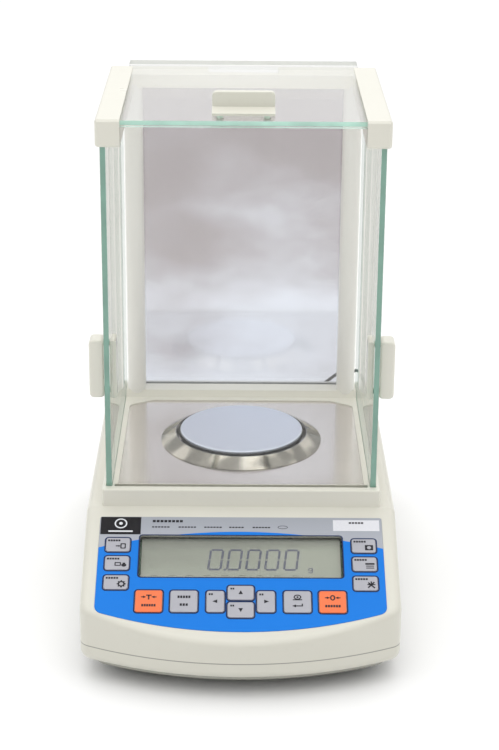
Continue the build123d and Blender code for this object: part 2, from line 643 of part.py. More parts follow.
# ------------------------------------------------------------- electronics
def make_main_board():
    """Main board on four pillars in front of the weigh cell."""
    front = FRONT_Y + 24.0
    rear = CELL_FRONT - 8.0
    z = TRAY_Z + WALL + 5.0
    board = block((-50.0, 50.0), (front, rear), (z, z + BOARD))
    chips = ((-25.0, 14.0, 14.0, 1.4), (10.0, 20.0, 12.0, 2.0), (36.0, 10.0, 18.0, 8.0))
    for x, width, depth, height in chips:
        middle = (front + rear) / 2
        board += block((x - width / 2, x + width / 2), (middle - depth / 2, middle + depth / 2),
                       (z + BOARD, z + BOARD + height))
    for x in (-44.0, 44.0):
        for y in (front + 6.0, rear - 6.0):
            board += post(x, y, (TRAY_Z + WALL, z), 2.5)
    return board


def make_ports():
    """Two serial sockets and a data socket in the rear wall."""
    shells = []
    for x in SERIAL_X:
        shell = port_prism(x, SERIAL_SIZE, (REAR_Y - PORT_DEPTH, REAR_Y - 0.5), 0.0)
        mouth = port_prism(x, (18.0, 8.0), (REAR_Y - 4.5, REAR_Y + 1), 0.0)
        insert = port_prism(x, (16.0, 6.4), (REAR_Y - 5.0, REAR_Y - 1.2), 0.0)
        shell = shell - mouth + insert
        for sign in (-1, 1):
            nut = Plane((x + sign * 12.5, REAR_Y - 2.5, PORT_Z), z_dir=(0, 1, 0))
            shell -= cylinder_along(nut, 1.4, 4.0)
        shells.append(shell)
    usb = port_prism(USB_X, USB_SIZE, (REAR_Y - PORT_DEPTH, REAR_Y - 0.5), 0.0)
    usb -= port_prism(USB_X, (12.6, 5.2), (REAR_Y - PORT_DEPTH + 1.5, REAR_Y + 1), 0.0)
    usb += port_prism(USB_X, (11.4, 1.8), (REAR_Y - PORT_DEPTH, REAR_Y - 2.0), 0.0)
    return shells + [usb]


def make_inlet():
    """Power inlet: round socket with its centre pin."""
    body = inlet_cylinder(INLET_RADIUS, (REAR_Y - 13.0, REAR_Y - 0.3))
    body -= inlet_cylinder(INLET_BORE, (REAR_Y - 10.5, REAR_Y + 1))
    return body + inlet_cylinder(INLET_PIN, (REAR_Y - 11.0, REAR_Y - 2.0))


def plug_along(start, end, radii):
    """Round taper between two points."""
    axis = Vector(end) - Vector(start)
    plane = Plane(origin=start, z_dir=axis)
    return loft([plane * Circle(radii[0]), plane.offset(axis.length) * Circle(radii[1])])


def make_plug():
    """Angled barrel plug with its grooved strain relief."""
    y = (REAR_Y - 9.5, REAR_Y + 1.0)
    barrel = inlet_cylinder(PLUG_BARREL, y) - inlet_cylinder(INLET_PIN + 0.1, y)
    head = inlet_cylinder(PLUG_HEAD, (REAR_Y + 1.0, PLUG_Y + PLUG_HEAD))
    head = fillet(head.faces().sort_by(Axis.Y)[-1].edges(), 1.5)
    centre = Vector(INLET_X, PLUG_Y, PORT_Z)
    direction = Vector(math.cos(RELIEF_ANGLE), 0, math.sin(RELIEF_ANGLE))
    start = centre + direction * (PLUG_HEAD - 2.0)
    relief = plug_along(start, EXIT, (3.6, CORD_RADIUS + 0.6))
    for number in range(4):
        place = centre + direction * (PLUG_HEAD + 4.0 + 3.4 * number)
        groove = Cylinder(5.0, 1.2) - Cylinder(CORD_RADIUS + 0.9, 1.2)
        relief -= Plane(origin=place, z_dir=direction) * groove
    return barrel + head + relief


def bend_radii(points):
    """Largest arc that two neighbouring runs allow at each inner point."""
    radii = []
    for before, here, after in zip(points, points[1:], points[2:]):
        first = Vector(*here) - Vector(*before)
        second = Vector(*after) - Vector(*here)
        turn = math.radians(first.get_angle(second))
        radii.append(0.45 * min(first.length, second.length) / math.tan(turn / 2))
    return radii


def make_cord():
    """Cord's loose run from the plug to its coil."""
    path = FilletPolyline(*CORD_ROUTE, radius=bend_radii(CORD_ROUTE))
    start = Plane(origin=path @ 0, z_dir=path % 0)
    return sweep(start * Circle(CORD_RADIUS), path=path)


def make_cord_coil():
    """Outer shape of the put-away coil."""
    x, y = COIL_CENTRE
    ring = post(x, y, (0, COIL_HEIGHT), COIL_OUT) - post(x, y, (-1, COIL_HEIGHT + 1), COIL_IN)
    return fillet(ring.edges(), 3.0)


def make_adapter():
    """Mains adapter beside the coil, with its two pins and strain relief."""
    x, y = COIL_CENTRE
    width, depth, height = ADAPTER_SIZE
    mouth_y = y - COIL_TURN
    low_x = x - ADAPTER_REACH - ADAPTER_RELIEF - width
    case = block((low_x, low_x + width), (mouth_y - depth / 2, mouth_y + depth / 2), (0, height))
    case = fillet(case.edges().filter_by(Axis.Z), 5.0)
    case = fillet(case.faces().sort_by(Axis.Z)[-1].edges(), 2.0)
    relief = plug_along((low_x + width - 1, mouth_y, ADAPTER_MOUTH),
                        (x - ADAPTER_REACH, mouth_y, ADAPTER_MOUTH), (4.0, CORD_RADIUS + 0.6))
    for sign in (-1, 1):
        pin = Plane((low_x, mouth_y + sign * PRONG_PITCH / 2, height / 2), z_dir=(-1, 0, 0))
        prong = cylinder_along(pin, PRONG_RADIUS, PRONG_LENGTH)
        case += fillet(prong.faces().sort_by(Axis.X)[0].edges(), 1.2)
    return case + relief


def make_vial():
    """Round bubble level let into the rear deck."""
    cup = post(VIAL_X, VIAL_Y, (DECK_Z - VIAL_DEPTH, DECK_Z + 0.8), VIAL_RADIUS)
    return fillet(cup.faces().sort_by(Axis.Z)[-1].edges(), 0.6)


# ------------------------------------------------------------ draft shield
def floor_outline(grow):
    """Chamber floor's outline, with its rear corners cut off."""
    half = FLOOR_HALF + grow
    front = FLOOR_FRONT - grow
    rear = FLOOR_REAR + grow
    cut_x = half - FLOOR_CUT[0]
    cut_y = rear - FLOOR_CUT[1]
    face = make_face(Polyline((-half, front), (half, front), (half, cut_y), (cut_x, rear),
                              (-cut_x, rear), (-half, cut_y), close=True))
    return fillet(face.vertices().sort_by(Axis.Y)[2:], FLOOR_CORNER)


def make_shield_frame():
    """Frame under the glass: front lip, door tracks and rear shelf."""
    frame = block((-RAIL_OUT, RAIL_OUT), (FRAME_FRONT, FRAME_REAR), (DECK_Z, FRAME_Z))
    uprights = frame.edges().filter_by(Axis.Z)
    frame = fillet(uprights, 1.5)
    shelf = Polyline((RAIL_REAR + 4.0, FRAME_Z - 1), (RAIL_REAR + 4.0, FRAME_Z),
                     (RAIL_REAR + 7.0, SHELF_Z), (SHELF_REAR, SHELF_Z),
                     (SHELF_REAR, FRAME_Z - 1), close=True)
    shelf = extrude(Plane.YZ * make_face(shelf), TRACK_IN, both=True)
    frame += shelf
    front_edge = frame.edges().filter_by(Axis.X).sort_by(Axis.Y)[:2].sort_by(Axis.Z)[-1]
    frame = fillet(front_edge, 1.2)
    frame -= extrude(Pos(0, 0, DECK_Z - 1) * floor_outline(-4.0), FRAME_HEIGHT + 3)
    frame -= extrude(Pos(0, 0, FLOOR_Z - FLOOR_SHEET) * floor_outline(SEAT_GAP), 3.0)
    for sign in (-1, 1):
        near, far = sorted((sign * TRACK_IN, sign * TRACK_OUT))
        frame -= block((near, far), (DOOR_FRONT - TRACK_CLEARANCE, FRAME_REAR + 1),
                       (FRAME_Z - DOOR_FOOT_DEPTH, SHELF_Z + 1))
    frame -= block((-PANE_HALF - SEAT_GAP, PANE_HALF + SEAT_GAP),
                   (FRONT_PANE_Y - SEAT_GAP, FRONT_PANE_Y + GLASS + SEAT_GAP),
                   (FRAME_Z - PANE_SEAT, FRAME_Z + 1))
    frame -= block((-PANE_HALF - SEAT_GAP, PANE_HALF + SEAT_GAP),
                   (REAR_PANE_Y - SEAT_GAP, REAR_PANE_Y + GLASS + SEAT_GAP),
                   (SHELF_Z - PANE_SEAT, SHELF_Z + 1))
    for sign in (-1, 1):
        frame -= post(sign * COLUMN_X, COLUMN_Y, (SHELF_Z - PANE_SEAT, SHELF_Z + 1),
                      COLUMN_RADIUS + COLUMN_FIT)
    return frame


def make_floor_plate():
    """Stainless floor of the chamber with the spindle's hole."""
    plate = extrude(Pos(0, 0, FLOOR_Z - FLOOR_SHEET) * floor_outline(0.0), FLOOR_SHEET)
    return plate - post(0, PAN_Y, (FLOOR_Z - 2, FLOOR_Z + 1), SPINDLE_RADIUS + 9.0)


def make_rail(sign):
    """Top rail: door track below, lid groove inside, seats for pane and beam."""
    def across(low, high):
        return tuple(sorted((sign * low, sign * high)))

    rail = block(across(RAIL_IN, RAIL_OUT), (RAIL_FRONT, RAIL_REAR), (RAIL_Z, TOP_Z))
    lengthwise = rail.edges().filter_by(Axis.Y)
    low_edge = [edge for edge in lengthwise
                if abs(edge.center().X) > RAIL_OUT - 1 and edge.center().Z < RAIL_Z + 1]
    rail = fillet(low_edge, TRACK_CLEARANCE + 1.8)
    high_edge = [edge for edge in rail.edges().filter_by(Axis.Y)
                 if abs(edge.center().X) > RAIL_OUT - 0.1 and edge.center().Z > TOP_Z - 0.1]
    rail = fillet(high_edge, 1.6)
    front_top = rail.edges().filter_by(Axis.X).group_by(Axis.Y)[0].sort_by(Axis.Z)[-1]
    rail = chamfer(front_top, 1.4)
    rail -= block(across(TRACK_IN, TRACK_OUT), (DOOR_FRONT - TRACK_CLEARANCE, RAIL_REAR + 1),
                  (RAIL_Z - 1, RAIL_Z + DOOR_TOP_DEPTH))
    rail -= block(across(RAIL_IN - 1, LID_HALF + TRACK_CLEARANCE),
                  (LID_FRONT - TRACK_CLEARANCE, RAIL_REAR + 1),
                  (LID_Z - TRACK_CLEARANCE, LID_TOP + TRACK_CLEARANCE))
    rail -= block(across(RAIL_IN - 1, PANE_HALF + SEAT_GAP),
                  (FRONT_PANE_Y - SEAT_GAP, FRONT_PANE_Y + GLASS + SEAT_GAP),
                  (RAIL_Z - 1, LID_Z - TRACK_CLEARANCE))
    rail -= block(across(TONGUE_X - TONGUE_HALF - SEAT_GAP, TONGUE_X + TONGUE_HALF + SEAT_GAP),
                  (RAIL_REAR - TONGUE - SEAT_GAP, RAIL_REAR + 1), (BEAM_Z + 1.0, BEAM_Z + 8.0))
    return rail


def make_crossbeam():
    """Rear crossbeam on the columns, with a notched top and two tongues."""
    top = BEAM_Z + CROSSBEAM_HEIGHT
    beam = block((-BEAM_HALF, BEAM_HALF), (BEAM_FRONT, BEAM_REAR), (BEAM_Z, top))
    beam = fillet(beam.edges().filter_by(Axis.Z), 2.0)
    beam -= block((-NOTCH_HALF, NOTCH_HALF), (BEAM_FRONT + 4.0, BEAM_REAR + 1),
                  (top - NOTCH_DEPTH, top + 1))
    for sign in (-1, 1):
        near, far = sorted((sign * (TONGUE_X - TONGUE_HALF), sign * (TONGUE_X + TONGUE_HALF)))
        beam += block((near, far), (RAIL_REAR - TONGUE, BEAM_FRONT + 3.0),
                      (BEAM_Z + 1.1, BEAM_Z + 7.9))
        beam -= post(sign * COLUMN_X, COLUMN_Y, (BEAM_Z - 1, BEAM_Z + PANE_SEAT),
                     COLUMN_RADIUS + COLUMN_FIT)
    beam -= block((-PANE_HALF - SEAT_GAP, PANE_HALF + SEAT_GAP),
                  (REAR_PANE_Y - SEAT_GAP, REAR_PANE_Y + GLASS + SEAT_GAP),
                  (BEAM_Z - 1, BEAM_Z + PANE_SEAT))
    return beam


def make_columns():
    """Two round posts that carry the crossbeam."""
    low, high = SHELF_Z - PANE_SEAT, BEAM_Z + PANE_SEAT
    return [post(sign * COLUMN_X, COLUMN_Y, (low, high), COLUMN_RADIUS) for sign in (-1, 1)]


def make_front_pane():
    """Fixed front pane between frame and lid."""
    return block((-PANE_HALF, PANE_HALF), (FRONT_PANE_Y, FRONT_PANE_Y + GLASS),
                 (FRAME_Z - PANE_SEAT, LID_Z - TRACK_CLEARANCE - SEAT_GAP))


def make_rear_pane():
    """Fixed rear pane between shelf and crossbeam."""
    return block((-PANE_HALF, PANE_HALF), (REAR_PANE_Y, REAR_PANE_Y + GLASS),
                 (SHELF_Z - PANE_SEAT, BEAM_Z + PANE_SEAT))


def grip_screw_heights():
    """Heights of the two screws through a door's grips."""
    return (GRIP_Z + GRIP_SCREW_END, GRIP_Z + GRIP_HEIGHT - GRIP_SCREW_END)


def along_x(sign, x, y, z, radius):
    """Cylinder across the door between two distances from the middle."""
    length = x[1] - x[0]
    return Pos(sign * (x[0] + length / 2), y, z) * Rot(0, 90, 0) * Cylinder(radius, length)


def make_door(side, sign):
    """Sliding door pane with its outer and inner grips and their screws."""
    def across(low, high):
        return tuple(sorted((sign * low, sign * high)))

    grip_y = (GRIP_FRONT, GRIP_FRONT + GRIP_DEPTH)
    grip_z = (GRIP_Z, GRIP_Z + GRIP_HEIGHT)
    screw_y = GRIP_FRONT + GRIP_DEPTH / 2
    inner_face = DOOR_IN - INNER_GRIP
    glass = block(across(DOOR_IN, DOOR_OUT), (DOOR_FRONT, DOOR_REAR), (DOOR_BOTTOM, DOOR_TOP))
    glass = chamfer(glass.edges().filter_by(Axis.Z), 0.3)
    outer = rounded_block(across(DOOR_OUT, DOOR_OUT + OUTER_GRIP), grip_y, grip_z, 3.0, Axis.Y)
    far_face = outer.faces().sort_by(Axis.X)[-1 if sign > 0 else 0]
    outer = fillet(far_face.edges().filter_by(Axis.Z), 1.5)
    inner = rounded_block(across(inner_face, DOOR_IN), grip_y, grip_z, 1.5, Axis.Y)
    screws = []
    for z in grip_screw_heights():
        glass -= along_x(sign, (DOOR_IN - 1, DOOR_OUT + 1), screw_y, z, GRIP_SCREW_RADIUS + 0.5)
        outer -= along_x(sign, (DOOR_OUT - 1, DOOR_OUT + GRIP_SCREW_DEPTH), screw_y, z,
                         GRIP_SCREW_RADIUS)
        inner -= along_x(sign, (inner_face - 1, DOOR_IN + 1), screw_y, z,
                         GRIP_SCREW_RADIUS + SEAT_GAP)
        inner -= along_x(sign, (inner_face - 1, inner_face + GRIP_SCREW_HEAD), screw_y, z,
                         GRIP_SCREW_RADIUS + 1.3)
        screw = along_x(sign, (inner_face + SEAT_GAP, inner_face + GRIP_SCREW_HEAD), screw_y, z,
                        GRIP_SCREW_RADIUS + 1.1)
        screw += along_x(sign, (inner_face + GRIP_SCREW_HEAD, DOOR_OUT + GRIP_SCREW_DEPTH),
                         screw_y, z, GRIP_SCREW_RADIUS)
        screws.append(screw)
    keep(f"{side}_door_glass", glass)
    keep(f"{side}_door_outer_grip", outer)
    keep(f"{side}_door_inner_grip", inner)
    keep(f"{side}_door_screws", *screws)


def make_lid():
    """Sliding lid pane with its grip and the two screws beneath it."""
    front = LID_FRONT + LID_GRIP_BACK
    screw_y = front + LID_GRIP_TREAD
    glass = block((-LID_HALF, LID_HALF), (LID_FRONT, LID_REAR), (LID_Z, LID_TOP))
    glass = chamfer(glass.edges().filter_by(Axis.X), 0.3)
    top = LID_TOP + LID_GRIP_HEIGHT
    rear = front + LID_GRIP_DEPTH
    outline = Polyline((front, LID_TOP), (front, LID_TOP + 1.5),
                       (front + LID_GRIP_TREAD, LID_TOP + 4.0),
                       (front + LID_GRIP_TREAD + 0.6, top), (rear - 1.0, top),
                       (rear, LID_TOP), close=True)
    grip = extrude(Plane.YZ * make_face(outline), LID_GRIP_WIDTH / 2, both=True)
    crown = grip.faces().sort_by(Axis.Z)[-1].edges().filter_by(Axis.Y)
    grip = fillet(crown, 3.0)
    grip = fillet(grip.faces().sort_by(Axis.Z)[-1].edges().filter_by(Axis.X), 0.8)
    screws = []
    for x in (-LID_GRIP_WIDTH / 2 + 5.0, LID_GRIP_WIDTH / 2 - 5.0):
        glass -= post(x, screw_y, (LID_Z - 1, LID_TOP + 1), GRIP_SCREW_RADIUS + 0.5)
        grip -= post(x, screw_y, (LID_TOP - 1, LID_TOP + 3.0), GRIP_SCREW_RADIUS)
        head = post(x, screw_y, (LID_Z - SCREW_HEAD, LID_Z), SCREW_HEAD_RADIUS - 0.4)
        screws.append(head + post(x, screw_y, (LID_Z, LID_TOP + 3.0), GRIP_SCREW_RADIUS))
    keep("lid_glass", glass)
    keep("lid_grip", grip)
    keep("lid_screws", *screws)


def make_base_screws():
    """Housing screws into the posts and screws into the weigh cell."""
    screws = [make_screw(sign * POST_X, y, PARTING_Z + 14.0)
              for sign in (-1, 1) for y in (POST_FRONT_Y, POST_REAR_Y)]
    screws += [make_screw(sign * CELL_BOLT_X, y, TRAY_Z + 8.0)
               for sign in (-1, 1) for y in CELL_BOLT_Y]
    return screws


keep("base_plate", make_base_plate())
keep("lower_housing", make_lower_housing())
keep("upper_housing", make_upper_housing())
keep("base_screws", *make_base_screws())
for side, sign in (("left", -1), ("right", 1)):
    for end, y in (("front", FOOT_FRONT_Y), ("rear", FOOT_REAR_Y)):
        keep(f"foot_{end}_{side}", make_foot(sign * FOOT_X, y))
keep("control_overlay", make_overlay())
keep("display_window", make_window())
keep("lcd_module", make_lcd())
keep("key_board", make_key_board())
for name, x, up, width, height in key_layout():
    keep(name, make_key(x, up, width, height))
keep("main_board", make_main_board())
keep("power_inlet", make_inlet())
keep("data_ports", *make_ports())
keep("level_vial", make_vial())
keep("cord_plug", make_plug())
keep("power_cord", make_cord())
keep("cord_coil", make_cord_coil())
keep("power_adapter", make_adapter())
keep("cell_body", make_cell_body())
keep("cell_magnet", make_magnet())
keep("cell_coil_beam", make_coil())
keep("calibration_weight", make_calibration_weight())
keep("pan_carrier", make_carrier())
keep("weighing_pan", make_pan())
keep("wind_ring", make_ring())
keep("shield_frame", make_shield_frame())
keep("floor_plate", make_floor_plate())
keep("left_rail", make_rail(-1))
keep("right_rail", make_rail(1))
keep("columns", *make_columns())
keep("rear_crossbeam", make_crossbeam())
keep("front_pane", make_front_pane())
keep("rear_pane", make_rear_pane())
make_lid()
make_door("left", -1)
make_door("right", 1)

os.makedirs("parts", exist_ok=True)
for name, shape in PARTS.items():
    export_step(shape, f"parts/{name}.step")
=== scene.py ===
import json
import math

import bpy
import bmesh
from mathutils import Matrix, Vector


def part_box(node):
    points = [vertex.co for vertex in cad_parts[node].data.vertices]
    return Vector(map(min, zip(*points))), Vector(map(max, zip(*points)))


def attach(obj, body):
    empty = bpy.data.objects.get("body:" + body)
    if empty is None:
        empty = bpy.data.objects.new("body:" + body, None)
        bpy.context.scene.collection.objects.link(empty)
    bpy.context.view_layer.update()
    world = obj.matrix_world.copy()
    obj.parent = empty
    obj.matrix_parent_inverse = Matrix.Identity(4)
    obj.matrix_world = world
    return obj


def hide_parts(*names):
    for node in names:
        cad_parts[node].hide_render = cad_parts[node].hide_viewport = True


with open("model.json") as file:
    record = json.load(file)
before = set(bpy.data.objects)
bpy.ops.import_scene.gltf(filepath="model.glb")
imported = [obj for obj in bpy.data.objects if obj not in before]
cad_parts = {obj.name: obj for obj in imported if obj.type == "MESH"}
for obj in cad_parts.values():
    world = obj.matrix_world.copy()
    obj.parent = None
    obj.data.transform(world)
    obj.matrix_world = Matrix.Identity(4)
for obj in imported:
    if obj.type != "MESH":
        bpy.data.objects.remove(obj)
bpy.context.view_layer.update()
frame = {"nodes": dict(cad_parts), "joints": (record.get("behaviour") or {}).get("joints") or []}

bl_info = {
    "name": "Analytical Balance",
    "version": (1, 0, 0),
    "blender": (4, 5, 0),
    "location": "3D Viewport > Sidebar > Balance",
    "description": "Finishes, prints, cord and studio for a balance with a glass draft shield",
    "category": "Object",
}

NODES = frame["nodes"]
MM = 0.001
INK_LIFT = 0.02 * MM        # printed ink starts this far above its surface
INK = 0.03 * MM             # thickness of printed ink
OVERPRINT = INK_LIFT + 2 * INK  # a print on top of another starts this far up

RAILS = ("left_rail", "right_rail")
SIDES = ("left", "right")
PANEL_KEYS = sorted(name for name in NODES if name.startswith("key_") and name != "key_board")


def linear(code):
    """Linear colour of a six-figure hexadecimal one."""
    shares = [int(code[start:start + 2], 16) / 255 for start in (0, 2, 4)]
    return tuple(s / 12.92 if s <= 0.04045 else ((s + 0.055) / 1.055) ** 2.4 for s in shares)


# Colours outside the settings, and pairs between which a clouded colour varies
ADAPTER_CASE = linear("232326")
ADAPTER_PLATE = (0.55, 0.55, 0.56)
ADAPTER_RULES = (0.05, 0.05, 0.05)
BADGE_BLACK = linear("121016")
BOARD_MASK = (0.012, 0.10, 0.045)
BOARD_TRACK = (0.04, 0.20, 0.08)
EMBLEM_WHITE = linear("D9DCE2")
FOOT_BLACK = (0.022, 0.022, 0.024)
LABEL_PALE = linear("DADBE2")
LENS_TINT = (0.96, 0.965, 0.95)
LID_FAR_EDGE = (0.74, 0.77, 0.75)
MACHINED_METAL = linear("B9B9B6")
MAGNET_METAL = linear("77777A")
PIN_GOLD = (0.85, 0.62, 0.25)
PORT_BLACK = (0.02, 0.02, 0.022)
POST_STEEL = (0.6, 0.6, 0.6)
REAR_GLASS_FOOT = (0.83, 0.85, 0.90)
SHELL_NICKEL = ((0.62, 0.62, 0.63), (0.72, 0.72, 0.72))
STUDIO_WHITE = ((0.93, 0.93, 0.93), (0.95, 0.95, 0.95))
TIE_BLACK = (0.03, 0.03, 0.035)
VIAL_BUBBLE = (0.80, 0.92, 0.55)
VIAL_COLLAR = (0.75, 0.74, 0.69)
VIAL_INK = (0.02, 0.02, 0.02)
VIAL_SPIRIT = ((0.36, 0.62, 0.06), (0.46, 0.72, 0.10))
WHITE = (1.0, 1.0, 1.0)
ZINC = linear("8E8E90")


# ---------------------------------------------------------------- settings
def colour_setting(name, description, code):
    """Colour property with a default given in hexadecimal."""
    return bpy.props.FloatVectorProperty(
        name=name, description=description, default=linear(code), size=3, min=0.0, max=1.0,
        subtype="COLOR")


def length_setting(name, description, millimetres):
    """Length property with a default given in millimetres."""
    return bpy.props.FloatProperty(
        name=name, description=description, default=millimetres * MM, unit="LENGTH",
        precision=5)


class BALANCE_PG_finish(bpy.types.PropertyGroup):
    """Colours of the balance's materials."""

    ivory: colour_setting("Ivory", "Moulded housing, frame and rails", "D9D7CB")
    column: colour_setting("Columns", "Powder coat of the two columns", "F2F1EC")
    door_edge: colour_setting("Door edge", "Polished edges of the doors", "76A190")
    lid_edge: colour_setting("Lid edge", "Polished edges of the lid and the panes", "BFE6D7")
    clear: colour_setting("Clear glass", "Tint of the lid, doors and front pane", "FDFDFC")
    rear_glass: colour_setting("Rear glass", "Tint of the rear pane", "C8C3C5")
    blue: colour_setting("Foil blue", "Blue field of the control foil", "0F7CE0")
    band: colour_setting("Foil grey", "Grey band above the display", "ACB0B9")
    key_grey: colour_setting("Grey keys", "Function keys", "AEAEB6")
    key_orange: colour_setting("Orange keys", "Tare and zero keys", "F4743A")
    outline: colour_setting("Outlines", "Lines around the keys and the window", "1D2F57")
    ink: colour_setting("Ink", "Legends on the keys", "2B2A30")
    lcd: colour_setting("Display", "Display's background", "999C93")
    digit: colour_setting("Digits", "Display's segments", "64667A")
    pan: colour_setting("Pan", "Satin weighing pan", "D3DAEA")
    ring: colour_setting("Wind ring", "Polished wind ring", "BDB9B0")
    floor_sheet: colour_setting("Chamber floor", "Stainless sheet of the floor", "E0DAD5")
    plate: colour_setting("Base plate", "Aluminium base plate", "A6A69E")
    jacket: colour_setting("Cord jacket", "Power cord and its plugs", "17171A")


class BALANCE_PG_cord(bpy.types.PropertyGroup):
    """Sizes of the power cord and its coil."""

    diameter: length_setting("Diameter", "Diameter of the lead", 2.5)
    length: length_setting("Length", "Whole length of the lead", 1500.0)
    coil_outer: length_setting("Outer turn", "Radius of the coil's outermost turn", 18.5)
    coil_inner: length_setting("Inner turn", "Radius of the coil's innermost turn", 9.4)
    turns: bpy.props.IntProperty(name="Turns", description="Turns in the coil", default=15, min=1)


class BALANCE_PG_studio(bpy.types.PropertyGroup):
    """Camera and light."""

    focal: bpy.props.FloatProperty(
        name="Focal length", description="Camera's focal length in millimetres",
        default=91.19, min=10.0)
    place: bpy.props.FloatVectorProperty(
        name="Camera place", description="Camera's place", size=3, subtype="XYZ", unit="LENGTH",
        default=(-0.00315, -1.21703, 0.62181))
    pitch: bpy.props.FloatProperty(
        name="Pitch", description="Camera's tilt below level", default=math.radians(20.93),
        unit="ROTATION")
    yaw: bpy.props.FloatProperty(
        name="Yaw", description="Camera's turn to the right", default=math.radians(0.40),
        unit="ROTATION")
    roll: bpy.props.FloatProperty(
        name="Roll", description="Camera's roll", default=math.radians(0.48), unit="ROTATION")
    sky: bpy.props.FloatProperty(
        name="Sky", description="Strength of the studio's even light", default=1.25, min=0.0)
    key_power: bpy.props.FloatProperty(
        name="Key light", description="Power of the overhead light", default=5.0, min=0.0,
        unit="POWER")


# ------------------------------------------------------------ shader fields
class Field:
    """Output socket of a node; arithmetic on it adds Math nodes."""

    def __init__(self, shader, socket):
        self.shader = shader
        self.socket = socket

    def math(self, operation, *values):
        return self.shader.add("ShaderNodeMath", {"operation": operation}, dict(enumerate(values)))

    def __add__(self, other):
        return self.math("ADD", self, other)

    def __radd__(self, other):
        return self.math("ADD", other, self)

    def __sub__(self, other):
        return self.math("SUBTRACT", self, other)

    def __rsub__(self, other):
        return self.math("SUBTRACT", other, self)

    def __mul__(self, other):
        return self.math("MULTIPLY", self, other)

    def __rmul__(self, other):
        return self.math("MULTIPLY", other, self)

    def __truediv__(self, other):
        return self.math("DIVIDE", self, other)

    def __rtruediv__(self, other):
        return self.math("DIVIDE", other, self)

    def __pow__(self, other):
        return self.math("POWER", self, other)

    def __abs__(self):
        return self.math("ABSOLUTE", self)

    def root(self):
        return self.math("SQRT", self)

    def over(self, low, high):
        """Mask that rises smoothly from 0 at one value to 1 at the other."""
        return self.shader.add("ShaderNodeMapRange", {"interpolation_type": "SMOOTHSTEP"},
                               {0: self, 1: low, 2: high, 3: 0.0, 4: 1.0})


class Shader:
    """One material, or the studio's sky, and its node tree."""

    def __init__(self, name, sky=False):
        self.owner = (bpy.data.worlds if sky else bpy.data.materials).new(name)
        self.owner.use_nodes = True
        self.tree = self.owner.node_tree
        self.tree.nodes.clear()
        self.out = "ShaderNodeOutputWorld" if sky else "ShaderNodeOutputMaterial"
        self.place = self.add("ShaderNodeTexCoord", output="Generated" if sky else "Object")

    def add(self, kind, settings=None, sockets=None, output=0):
        """Add a node: its settings first, then the values or links of its sockets."""
        node = self.tree.nodes.new(kind)
        for key, value in (settings or {}).items():
            setattr(node, key, value)
        for key, value in (sockets or {}).items():
            if isinstance(value, Field):
                self.tree.links.new(value.socket, node.inputs[key])
            elif node.inputs[key].type == "RGBA":
                node.inputs[key].default_value = (*value[:3], 1.0)
            else:
                node.inputs[key].default_value = value
        return Field(self, node.outputs[output]) if node.outputs else None

    def xyz(self, vector=None):
        """The three parts of a vector."""
        split = self.add("ShaderNodeSeparateXYZ", sockets={0: vector or self.place})
        return [Field(self, part) for part in split.socket.node.outputs]

    def mix(self, factor, first, second):
        """Colour between two colours."""
        return self.add("ShaderNodeMix", {"data_type": "RGBA"},
                        {0: factor, 6: first, 7: second}, output=2)

    def noise(self, scale, detail=2.0, vector=None):
        return self.add("ShaderNodeTexNoise", sockets={
            "Vector": vector or self.place, "Scale": scale, "Detail": detail})

    def stretched(self, scales):
        """Object place, scaled by its own number along each axis."""
        return self.add("ShaderNodeVectorMath", {"operation": "MULTIPLY"},
                        {0: self.place, 1: scales})

    def bump(self, height, distance, strength=1.0):
        return self.add("ShaderNodeBump", sockets={
            "Height": height, "Distance": distance, "Strength": strength})

    def facing(self, axis):
        """How squarely the surface faces along one axis."""
        normal = self.add("ShaderNodeTexCoord", output="Normal")
        return abs(self.xyz(normal)[axis])

    def mirror(self, floor, rise):
        """Share of light that a smooth pane reflects, larger at a slant."""
        away = self.add("ShaderNodeLayerWeight", sockets={"Blend": 0.5}, output="Facing")
        return floor + rise * away ** 5.0

    def around(self, node):
        """Places across and along from a node's upright middle, and the distance to it."""
        low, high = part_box(node)
        x, y, _ = self.xyz()
        across = x - (low.x + high.x) / 2
        along = y - (low.y + high.y) / 2
        return across, along, (across * across + along * along).root()

    def between(self, factor, first, second):
        """Surface between two surfaces."""
        return self.add("ShaderNodeMixShader", sockets={0: factor, 1: first, 2: second})

    def surface(self, sockets):
        return self.add("ShaderNodeBsdfPrincipled", sockets=sockets)

    def finish(self, surface):
        """Send a surface to the output and hand over the material or the sky."""
        self.add(self.out, sockets={0: surface})
        return self.owner


def shade(colour, share):
    """Colour made darker or lighter by a share."""
    return tuple(min(part * share, 1.0) for part in colour[:3])


def wear(material, *names):
    """Give a finish to CAD nodes."""
    for name in names:
        mesh = NODES[name].data
        mesh.materials.clear()
        mesh.materials.append(material)


# ----------------------------------------------------------------- finishes
SEAM_REACH = 0.42 * MM      # where the parting line's shade ends
SEAM_CORE = 0.22 * MM       # half of its dark middle
PALE_FOOT = (0.33, 0.08)    # heights between which the rear pane turns paler, in metres
PALE_WAVE = 0.42            # how far soft waves shift those heights, in metres
EDGE_ON = (0.45, 0.55)      # facing at which a pane's border turns into its face


